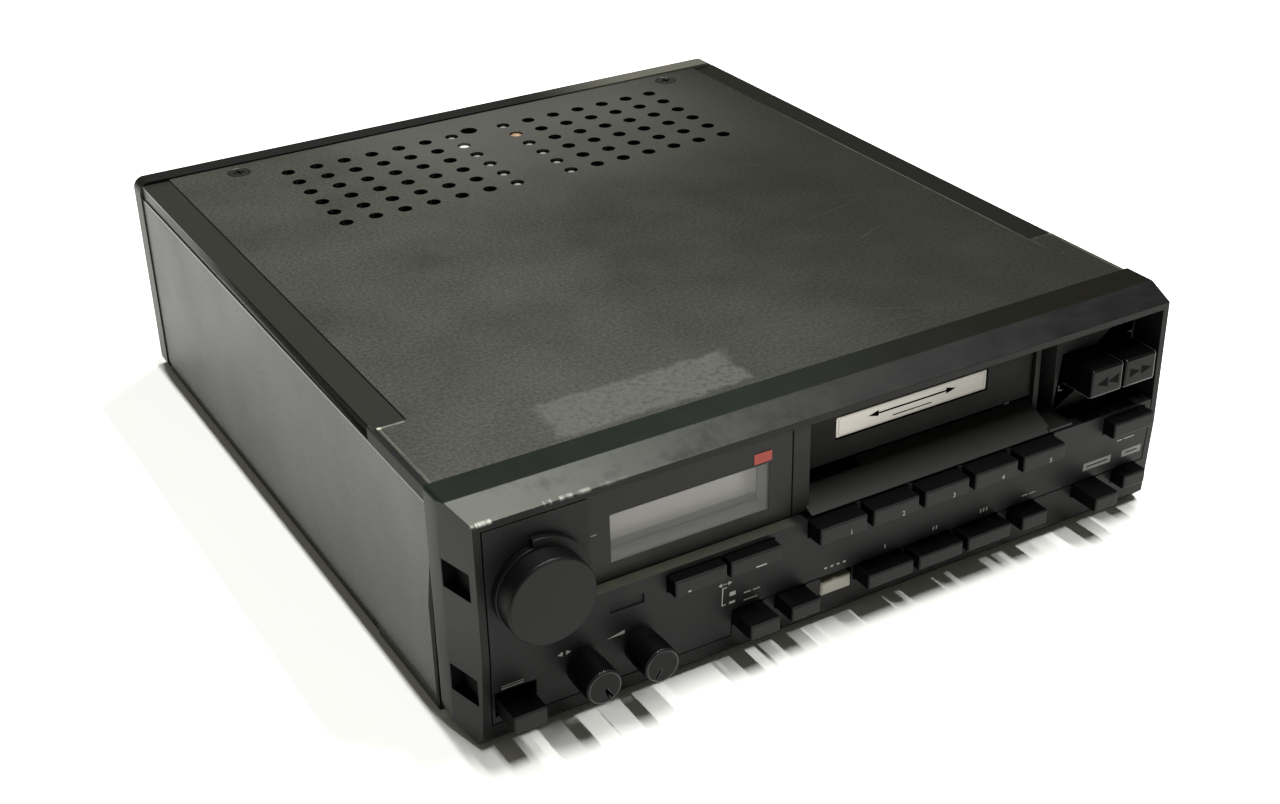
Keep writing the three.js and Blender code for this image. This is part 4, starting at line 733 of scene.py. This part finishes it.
def ribRing():  # bars along the axis, spaced round a knob that looks along -Y
    recipe = Recipe("rib_ring", Count="Int", Radius="Float", Length="Float", Height="Float", Width="Float",
                    Centre="Vector", Finish="Material")
    count = recipe.given("Count")
    ring = recipe.node("GeometryNodeMeshCircle", {}, {"Vertices": count, "Radius": recipe.given("Radius")})
    bar = recipe.box("Height", "Width", "Length")
    turn = recipe.maths("DIVIDE", math.tau, count)
    angle = recipe.maths("MULTIPLY", recipe.node("GeometryNodeInputIndex"), turn)
    bars = recipe.scatter(ring, bar, Rotation=recipe.triple(0.0, 0.0, angle))
    laid = recipe.move(bars, Rotation=(math.pi / 2, 0, 0), Translation=recipe.given("Centre"))
    return recipe.ending(laid)


def ribRow():  # thin bars along X, spaced inwards, on top of a key
    recipe = Recipe("rib_row", Count="Int", Pitch="Float", Length="Float", Height="Float", Width="Float",
                    First="Vector", Finish="Material")
    row = recipe.node("GeometryNodeMeshLine", {}, {
        "Count": recipe.given("Count"), "Start Location": recipe.given("First"),
        "Offset": recipe.triple(0.0, recipe.given("Pitch"))})
    bar = recipe.box("Length", "Width", "Height")
    return recipe.ending(recipe.scatter(row, bar))


def ventField():  # round holes punched through the cover, with one column left whole
    recipe = Recipe("vent_field", Columns="Int", Rows="Int", Skipped="Int", Pitch="Float", Radius="Float",
                    Depth="Float", First="Vector", ScrewRadius="Float", ScrewPlace="Vector", Plug="Object",
                    Finish="Material")
    columns, pitch, depth = (recipe.given(label) for label in ("Columns", "Pitch", "Depth"))
    points = recipe.node("GeometryNodePoints", {}, {
        "Count": recipe.maths("MULTIPLY", columns, recipe.given("Rows"))})
    index = recipe.node("GeometryNodeInputIndex")
    row = recipe.maths("FLOOR", recipe.maths("DIVIDE", index, columns))
    column = recipe.maths("SUBTRACT", index, recipe.maths("MULTIPLY", row, columns))
    forward = recipe.maths("MULTIPLY", recipe.maths("MULTIPLY", row, pitch), -1.0)
    here = recipe.node("ShaderNodeVectorMath", {"operation": "ADD"}, {
        0: recipe.given("First"), 1: recipe.triple(recipe.maths("MULTIPLY", column, pitch), forward)})
    placed = recipe.node("GeometryNodeSetPosition", {}, {"Geometry": points, "Position": here})
    number = recipe.node("FunctionNodeFloatToInt", {"rounding_mode": "ROUND"}, {0: column})
    skipped = recipe.node("FunctionNodeCompare", {"data_type": "INT", "operation": "EQUAL"}, {
        2: number, 3: recipe.given("Skipped")})
    kept = recipe.node("GeometryNodeDeleteGeometry", {"domain": "POINT"}, {
        "Geometry": placed, "Selection": skipped})
    punch = recipe.node("GeometryNodeMeshCylinder", {}, {
        "Vertices": 20, "Radius": recipe.given("Radius"), "Depth": depth})
    punches = recipe.node("GeometryNodeRealizeInstances", {}, {"Geometry": recipe.scatter(kept, punch)})
    wide = recipe.node("GeometryNodeMeshCylinder", {}, {
        "Vertices": 28, "Radius": recipe.given("ScrewRadius"), "Depth": depth})
    screwHole = recipe.move(wide, Translation=recipe.given("ScrewPlace"))
    allPunches = recipe.node("GeometryNodeJoinGeometry")
    for part in (punches, screwHole):
        recipe.tree.links.new(part, allPunches.node.inputs[0])
    plug = recipe.node("GeometryNodeObjectInfo", {}, {"Object": recipe.given("Plug")}, out="Geometry")
    whole = recipe.node("GeometryNodeMeshBoolean", {"operation": "UNION", "solver": "MANIFOLD"}, {
        "Mesh 2": plug})
    recipe.tree.links.new(recipe.given("Geometry"), whole.node.inputs["Mesh 2"])
    cut = recipe.node("GeometryNodeMeshBoolean", {"operation": "DIFFERENCE", "solver": "MANIFOLD"}, {
        "Mesh 1": whole, "Mesh 2": allPunches})
    return recipe.ending(cut)


def pinGrid():  # square pins that look along Y, in rows
    recipe = Recipe("pin_grid", Columns="Int", Rows="Int", Across="Float", Tall="Float", Thick="Float",
                    Length="Float", Centre="Vector", Finish="Material")
    points = recipe.grid(recipe.given("Across"), recipe.given("Tall"))
    pin = recipe.box("Thick", "Thick", "Length")
    laid = recipe.move(
        recipe.scatter(points, pin), Rotation=(math.pi / 2, 0, 0), Translation=recipe.given("Centre"))
    return recipe.ending(laid)


def dimpleGrid():  # flattened domes in rows
    recipe = Recipe("dimple_grid", Columns="Int", Rows="Int", Across="Float", Deep="Float", Radius="Float",
                    Flat="Float", Centre="Vector", Finish="Material")
    points = recipe.grid(recipe.given("Across"), recipe.given("Deep"))
    dome = recipe.node("GeometryNodeMeshUVSphere", {}, {
        "Segments": 16, "Rings": 10, "Radius": recipe.given("Radius")})
    squash = recipe.triple(1.0, 1.0, recipe.given("Flat"))
    laid = recipe.move(recipe.scatter(points, dome, Scale=squash), Translation=recipe.given("Centre"))
    return recipe.ending(laid)


ringOfRibs = ribRing()
rowOfRibs = ribRow()
ventPunch = ventField()
gridOfPins = pinGrid()
gridOfDimples = dimpleGrid()


def knobRibs(name, body, surface, count, radius, length, height, width, centre):
    holder = newPiece(name, bpy.data.meshes.new(name), body)
    ringOfRibs.grow(holder, Count=count, Radius=radius * mm, Length=length * mm, Height=height * mm,
                    Width=width * mm, Centre=spot(*centre), Finish=finishes[surface])
    return holder


volumeKnob = {"axis": (-78.3, 38.3), "radius": 9.86, "front": -7.0, "back": -2.9, "ribs": 132}
middle = (volumeKnob["front"] + volumeKnob["back"]) / 2
knobRibs("volume_knob_ribs", bodyOf["volume_knob"], "knob", volumeKnob["ribs"], volumeKnob["radius"],
         volumeKnob["back"] - volumeKnob["front"], 0.22, 0.2,
         (volumeKnob["axis"][0], middle, volumeKnob["axis"][1]))

smallKnobs = {"radius": 4.06, "front": -9.2, "back": -3.0, "ribs": 54, "z": 14.4,
              "middles": {"balance": -68.6, "tone": -54.8}, "turned": {"balance": 147, "tone": -147}}
for label, centreX in smallKnobs["middles"].items():
    knobRibs(label + "_knob_ribs", bodyOf[label + "_knob"], "small_knob", smallKnobs["ribs"],
             smallKnobs["radius"], smallKnobs["back"] - smallKnobs["front"], 0.24, 0.22,
             (centreX, (smallKnobs["front"] + smallKnobs["back"]) / 2, smallKnobs["z"]))

keyRibs = {"count": 5, "pitch": 0.55, "first": 0.7, "height": 0.12, "width": 0.26, "inset": 0.8, "face": 0.2}
for key in greyKeys:
    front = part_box(key)[0].y
    name = key.replace("_button", "") + "_ribs"
    corners = [v.co for v in nodes[key].data.vertices if v.co.y < front + keyRibs["face"] * mm]
    left, right = min(corner.x for corner in corners), max(corner.x for corner in corners)
    faceHigh = max(corner.z for corner in corners)
    holder = newPiece(name, bpy.data.meshes.new(name), bodyOf[key])
    rowOfRibs.grow(holder, Count=keyRibs["count"], Pitch=keyRibs["pitch"] * mm,
                   Length=right - left - 2 * keyRibs["inset"] * mm, Height=keyRibs["height"] * mm,
                   Width=keyRibs["width"] * mm,
                   First=Vector(((left + right) / 2, front + keyRibs["first"] * mm, faceHigh)),
                   Finish=finishes["key_grey"])
print("ribs made")

connectorPins = {"columns": 6, "rows": 2, "thick": 0.9, "length": 5.0, "short": 1.4, "fill": (0.72, 0.42)}


def harnessPins():
    low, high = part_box("harness_connector")
    pins = newPiece("harness_pins", bpy.data.meshes.new("harness_pins"), bodyOf["harness_connector"])
    across, tall = ((high - low)[axis] * share for axis, share in zip((0, 2), connectorPins["fill"]))
    inset = (connectorPins["short"] + connectorPins["length"] / 2) * mm
    gridOfPins.grow(pins, Columns=connectorPins["columns"], Rows=connectorPins["rows"], Across=across,
                    Tall=tall, Thick=connectorPins["thick"] * mm, Length=connectorPins["length"] * mm,
                    Centre=Vector(((low.x + high.x) / 2, high.y - inset, (low.z + high.z) / 2)),
                    Finish=finishes["socket_metal"])


harnessPins()

rivets = {  # the profile gives radius and height below the top
    "places": ((-5.32, 181.2), (11.42, 181.2)),
    "tops": (57.3, 57.55),
    "profile": ((1.7, 1.1), (1.7, 0.45), (1.35, 0.2), (0.675, 0)),
    "sides": 24,
}


def clampRivets():  # two rivet heads that fill the second holes from the back, beside the middle
    shape = bmesh.new()
    sides = rivets["sides"]
    angles = [step * math.tau / sides for step in range(sides)]
    for order, ((x, inward), top) in enumerate(zip(rivets["places"], rivets["tops"])):
        loops = []
        for radius, below in rivets["profile"]:
            loop = [(x + radius * math.cos(angle), inward + radius * math.sin(angle)) for angle in angles]
            loops.append([shape.verts.new(spot(*place, top - below)) for place in loop])
        faces = [shape.faces.new(loops[0][::-1]), shape.faces.new(loops[-1])]
        for under, over in zip(loops, loops[1:]):
            for step in range(sides):
                after = (step + 1) % sides
                faces.append(shape.faces.new((under[step], under[after], over[after], over[step])))
        for face in faces:
            face.material_index = order
    bmesh.ops.recalc_face_normals(shape, faces=shape.faces)
    mesh = bpy.data.meshes.new("clamp_rivets")
    shape.to_mesh(mesh)
    shape.free()
    smoothSides(mesh, 40)
    piece = newPiece("clamp_rivets", mesh, bodyOf["clamp_bracket"], "rivet_pale", "rivet_brass")


clampRivets()

dimples = {"columns": 2, "rows": 6, "middle": (3.05, 168.675), "z": 56.62, "across": 16.74, "deep": 41.85,
           "radius": 1.25, "flat": 0.45}


def clampDimples():  # what is pressed up from the two rails, under the holes beside the middle
    holder = newPiece("clamp_dimples", bpy.data.meshes.new("clamp_dimples"), bodyOf["clamp_bracket"])
    gridOfDimples.grow(holder, Columns=dimples["columns"], Rows=dimples["rows"],
                       Across=dimples["across"] * mm, Deep=dimples["deep"] * mm,
                       Radius=dimples["radius"] * mm, Flat=dimples["flat"],
                       Centre=spot(*dimples["middle"], dimples["z"]), Finish=finishes["clamp_zinc"])


clampDimples()

cover = {"columns": 15, "rows": 6, "skipped": 7, "pitch": 8.37, "radius": 1.93, "middle": 3.05,
         "lastRow": 189.6, "top": 57.6, "plugMargin": 2.6, "thickness": 1.0, "screwHole": (1.05, 191.3),
         "screwRadius": 2.5}


def topCover():
    half = cover["pitch"] * (cover["columns"] - 1) / 2
    plug = bpy.data.meshes.new("vent_plug")
    shape = bmesh.new()
    bmesh.ops.create_cube(shape, size=1)
    deepRow = cover["lastRow"] - cover["pitch"] * (cover["rows"] - 1)
    reach = half + cover["plugMargin"]
    low = spot(cover["middle"] - reach, deepRow - cover["plugMargin"], cover["top"] - cover["thickness"])
    high = spot(cover["middle"] + reach, cover["lastRow"] + cover["plugMargin"], cover["top"])
    for vertex in shape.verts:
        vertex.co = Vector([(low[i] + high[i]) / 2 + vertex.co[i] * (high[i] - low[i]) for i in range(3)])
    shape.to_mesh(plug)
    shape.free()
    plugPiece = bpy.data.objects.new("vent_plug", plug)
    bpy.context.scene.collection.objects.link(plugPiece)
    mesh = mergedCopy("top_cover")
    piece = newPiece("dressed_top_cover", mesh, bodyOf["top_cover"], "cover_coat")
    ventPunch.grow(piece, Columns=cover["columns"], Rows=cover["rows"], Skipped=cover["skipped"],
                   Pitch=cover["pitch"] * mm, Radius=cover["radius"] * mm, Depth=4 * mm,
                   First=spot(cover["middle"] - half, cover["lastRow"], cover["top"]),
                   ScrewRadius=cover["screwRadius"] * mm,
                   ScrewPlace=spot(*cover["screwHole"], cover["top"]), Plug=plugPiece,
                   Finish=finishes["cover_coat"])
    bpy.data.objects.remove(plugPiece)
    roundEdges(piece, 0.18, 2, 30)
    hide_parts("top_cover")
    print("cover", len(piece.data.polygons), "faces")


topCover()


# printed marks
faceTrees = {}


def faceSpot(nodeName, x, z, lift=0.0):  # the point of a node's front face at x, z
    if nodeName not in faceTrees:
        data = nodes[nodeName].data
        faceTrees[nodeName] = BVHTree.FromPolygons(
            [vertex.co for vertex in data.vertices], [face.vertices for face in data.polygons])
    hit = faceTrees[nodeName].ray_cast(spot(x, -30, z), Vector((0, 1, 0)))[0]
    return hit - Vector((0, lift * mm, 0))


def bar(x0, x1, z0, z1):
    return [(x0, z0), (x1, z0), (x1, z1), (x0, z1)]


def strokes(width, z0, z1, *lefts):  # alike bars in a row
    return [bar(left, left + width, z0, z1) for left in lefts]


def arrow(tipX, baseX, z, half):
    return [(tipX, z), (baseX, z - half), (baseX, z + half)]


def inkMark(name, nodeName, surface, outlines, thickness=0.05):  # a thin layer of ink that follows the face
    shape = bmesh.new()
    for outline in outlines:
        back = [shape.verts.new(faceSpot(nodeName, x, z, -0.01)) for x, z in outline]
        front = [shape.verts.new(faceSpot(nodeName, x, z, thickness)) for x, z in outline]
        shape.faces.new(back)
        shape.faces.new(front[::-1])
        for i in range(len(outline)):
            j = (i + 1) % len(outline)
            shape.faces.new((back[j], back[i], front[i], front[j]))
    bmesh.ops.recalc_face_normals(shape, faces=shape.faces)
    mesh = bpy.data.meshes.new(name)
    shape.to_mesh(mesh)
    shape.free()
    piece = newPiece(name, mesh, bodyOf[nodeName], surface)
    return piece


def numeral(name, text, size, x, z, nodeName, surface):
    letters = bpy.data.curves.new(name, "FONT")
    letters.body = text
    letters.size = size * mm
    letters.align_x = "CENTER"
    letters.align_y = "CENTER"
    letters.extrude = 0.02 * mm
    letters.resolution_u = 3
    holder = bpy.data.objects.new(name + "_text", letters)
    bpy.context.scene.collection.objects.link(holder)
    depsgraph = bpy.context.evaluated_depsgraph_get()
    mesh = bpy.data.meshes.new_from_object(holder.evaluated_get(depsgraph))
    bpy.data.objects.remove(holder)
    mesh.transform(Matrix.Rotation(math.pi / 2, 4, "X"))
    mesh.transform(Matrix.Translation(faceSpot(nodeName, x, z, 0.02)))
    mesh.materials.clear()
    piece = newPiece(name, mesh, bodyOf[nodeName], surface)
    return piece


presetNumbers = {"middles": (-5.3, 9.0, 23.3, 37.6, 51.9), "aside": 1.9, "z": 26.95, "size": 1.7}
for order, x in enumerate(presetNumbers["middles"], 1):
    numeral(f"preset_{order}_number", str(order), presetNumbers["size"], x + presetNumbers["aside"],
            presetNumbers["z"], f"preset_{order}_button", "ink_pale")

panelMarks = {  # plain signs where the panel is printed
    "seek_sign": [bar(-33.9, -33.65, 15.6, 20.5), bar(-33.65, -32.8, 20.25, 20.5),
                  bar(-33.65, -32.8, 15.6, 15.85), bar(-31.9, -30.4, 17.6, 18.7),
                  bar(-31.9, -30.4, 15.5, 16.1)],
    "loud_sign": [bar(-87.2, -82.0, 15.0, 15.3), bar(-87.2, -82.0, 15.7, 15.85)],
    "balance_sign": [arrow(-74.2, -73.0, 18.6, 0.6), arrow(-71.0, -72.2, 18.6, 0.6)],
    "tone_sign": [[(-62.4, 18.1), (-58.2, 18.1), (-58.2, 19.0)]],
    "manual_sign": strokes(1.8, 17.0, 17.3, -28.2, -25.8),
    "seek_mark": [bar(-28.1, -24.6, 14.9, 15.2)],
    "tune_sign": [arrow(-35.0, -34.0, 21.4, 0.5), arrow(-31.4, -32.4, 21.4, 0.5),
                  bar(-33.7, -32.7, 21.3, 21.5)],
    "memo_sign": strokes(0.7, 15.3, 15.8, -6.6, -4.9, -3.2, -1.5),
    "band_1_sign": strokes(0.3, 15.0, 16.1, 10.1),
    "band_2_sign": strokes(0.3, 15.0, 16.1, 24.0, 24.9),
    "band_3_sign": strokes(0.3, 15.0, 16.1, 38.0, 38.9, 39.8),
    "local_sign": strokes(1.8, 15.3, 15.55, 50.6, 53.0),
    "program_sign": [bar(79.6, 81.2, 21.5, 21.8), bar(81.8, 85.2, 21.5, 21.8)],
}
for name, outlines in panelMarks.items():
    inkMark(name, "control_panel", "ink_pale", outlines)
inkMark("metal_field", "control_panel", "ink_dim", [bar(69.6, 78.4, 16.1, 18.2)])
inkMark("search_field", "control_panel", "ink_dim", [bar(82.0, 88.2, 16.1, 18.1)])
inkMark("metal_field_line", "control_panel", "ink_dark", [bar(70.6, 77.4, 17.0, 17.3)], 0.08)
inkMark("search_field_line", "control_panel", "ink_dark", [bar(83.2, 87.0, 17.0, 17.3)], 0.08)
inkMark("tune_up_mark", "tune_up_button", "ink_pale", [bar(-27.5, -24.8, 25.5, 25.8)])
inkMark("tune_down_mark", "tune_down_button", "ink_pale", [bar(-44.6, -43.9, 25.55, 25.9)])
inkMark("stereo_mark", "display_panel", "ink_dim", [bar(-64.0, -62.6, 42.7, 43.0)])
inkMark("red_badge", "display_panel", "badge_red", [bar(-24.2, -19.7, 46.9, 49.4)], 0.12)
inkMark("rewind_arrows", "rewind_button", "ink_worn",
        [arrow(68.7, 71.9, 41.2, 1.3), arrow(72.1, 75.3, 41.2, 1.3)], 0.06)
inkMark("forward_arrows", "fast_forward_button", "ink_worn",
        [arrow(82.1, 78.9, 41.4, 1.1), arrow(85.7, 82.5, 41.4, 1.1)], 0.06)
inkMark("label_arrows", "door_label", "ink_dark",
        [bar(13.0, 33.0, 45.05, 45.45), arrow(10.6, 13.4, 45.25, 0.75), arrow(35.4, 32.6, 45.25, 0.75),
         bar(17.5, 28.5, 43.35, 43.6)], 0.04)
inkMark("recess_corners", "recess_plate", "ink_dim",
        [bar(66.2, 67.6, 35.7, 35.9), bar(66.2, 66.4, 35.9, 37.2), bar(87.0, 88.4, 45.9, 46.1),
         bar(88.2, 88.4, 44.6, 45.9)])
for label, place in smallKnobs["middles"].items():
    angle = math.radians(smallKnobs["turned"][label])
    direction = Vector((math.sin(angle), math.cos(angle)))
    beside = Vector((direction.y, -direction.x)) * 0.17
    start, end = direction * 0.8, direction * 3.2
    centre = Vector((place, smallKnobs["z"]))
    inkMark(label + "_pointer", label + "_knob", "ink_dark",
            [[tuple(centre + start - beside), tuple(centre + start + beside),
              tuple(centre + end + beside), tuple(centre + end - beside)]], 0.22)
print("marks made")

# camera, lights, floor
view = {"place": (-0.209468, -0.370379, 0.245414), "yaw": 29.97, "down": 28.99, "roll": -1.297,
        "lens": 51.141}


def placeCamera():
    yaw, down, roll = (math.radians(view[key]) for key in ("yaw", "down", "roll"))
    ahead = Vector((math.sin(yaw) * math.cos(down), math.cos(yaw) * math.cos(down), -math.sin(down)))
    right = Vector((math.cos(yaw), -math.sin(yaw), 0))
    up = right.cross(ahead)
    rolledRight = right * math.cos(roll) + up * math.sin(roll)
    rolledUp = up * math.cos(roll) - right * math.sin(roll)
    lens = bpy.data.cameras.new("photo_view")
    lens.lens = view["lens"]
    lens.sensor_width = 36
    lens.sensor_fit = "HORIZONTAL"
    lens.clip_start = 0.01
    camera = bpy.data.objects.new("photo_view", lens)
    camera.matrix_world = Matrix.Translation(Vector(view["place"])) @ Matrix(
        (rolledRight, rolledUp, -ahead)
    ).transposed().to_4x4()
    bpy.context.scene.collection.objects.link(camera)
    bpy.context.scene.camera = camera


tubes = {"height": 1.4, "length": 1.2, "width": 0.03, "middle": -0.01}
lamps = {"overhead": (-0.04, 21.5, (1, 1, 0.99)), "high_right": (0.48, 31.5, (1, 0.998, 0.97))}
room = {"half": 5, "floor": ((0.90, 0.90, 0.885), (0.92, 0.92, 0.91)), "sky": (1, 0.985, 0.80, 1),
        "glow": 0.13}


def tubeLight(name, x, power, colour):  # a long thin lamp along Y, high over the floor
    lamp = bpy.data.lights.new(name, "AREA")
    lamp.shape = "RECTANGLE"
    lamp.size, lamp.size_y = tubes["width"], tubes["length"]
    lamp.energy = power
    lamp.color = colour
    holder = bpy.data.objects.new(name, lamp)
    holder.location = (x, tubes["middle"], tubes["height"])
    holder.rotation_euler = (0, math.atan2(x, tubes["height"]), 0)
    bpy.context.scene.collection.objects.link(holder)


def studio():
    floorFinish = Finish("studio_floor", 0.6)
    floorFinish.paint(floorFinish.blend(floorFinish.grain(120, 2), *room["floor"]))
    shape = bmesh.new()
    bmesh.ops.create_grid(shape, x_segments=8, y_segments=8, size=room["half"])
    mesh = bpy.data.meshes.new("studio_floor")
    shape.to_mesh(mesh)
    shape.free()
    mesh.materials.append(floorFinish.material)
    floor = bpy.data.objects.new("studio_floor", mesh)
    bpy.context.scene.collection.objects.link(floor)
    world = bpy.data.worlds.new("studio")
    world.use_nodes = True
    sky = world.node_tree.nodes["Background"]
    sky.inputs["Color"].default_value = room["sky"]
    sky.inputs["Strength"].default_value = room["glow"]
    bpy.context.scene.world = world
    for name, (x, power, colour) in lamps.items():
        tubeLight(name, x, power, colour)
    bpy.context.scene.view_settings.view_transform = "Standard"


placeCamera()
studio()
print("stage set")
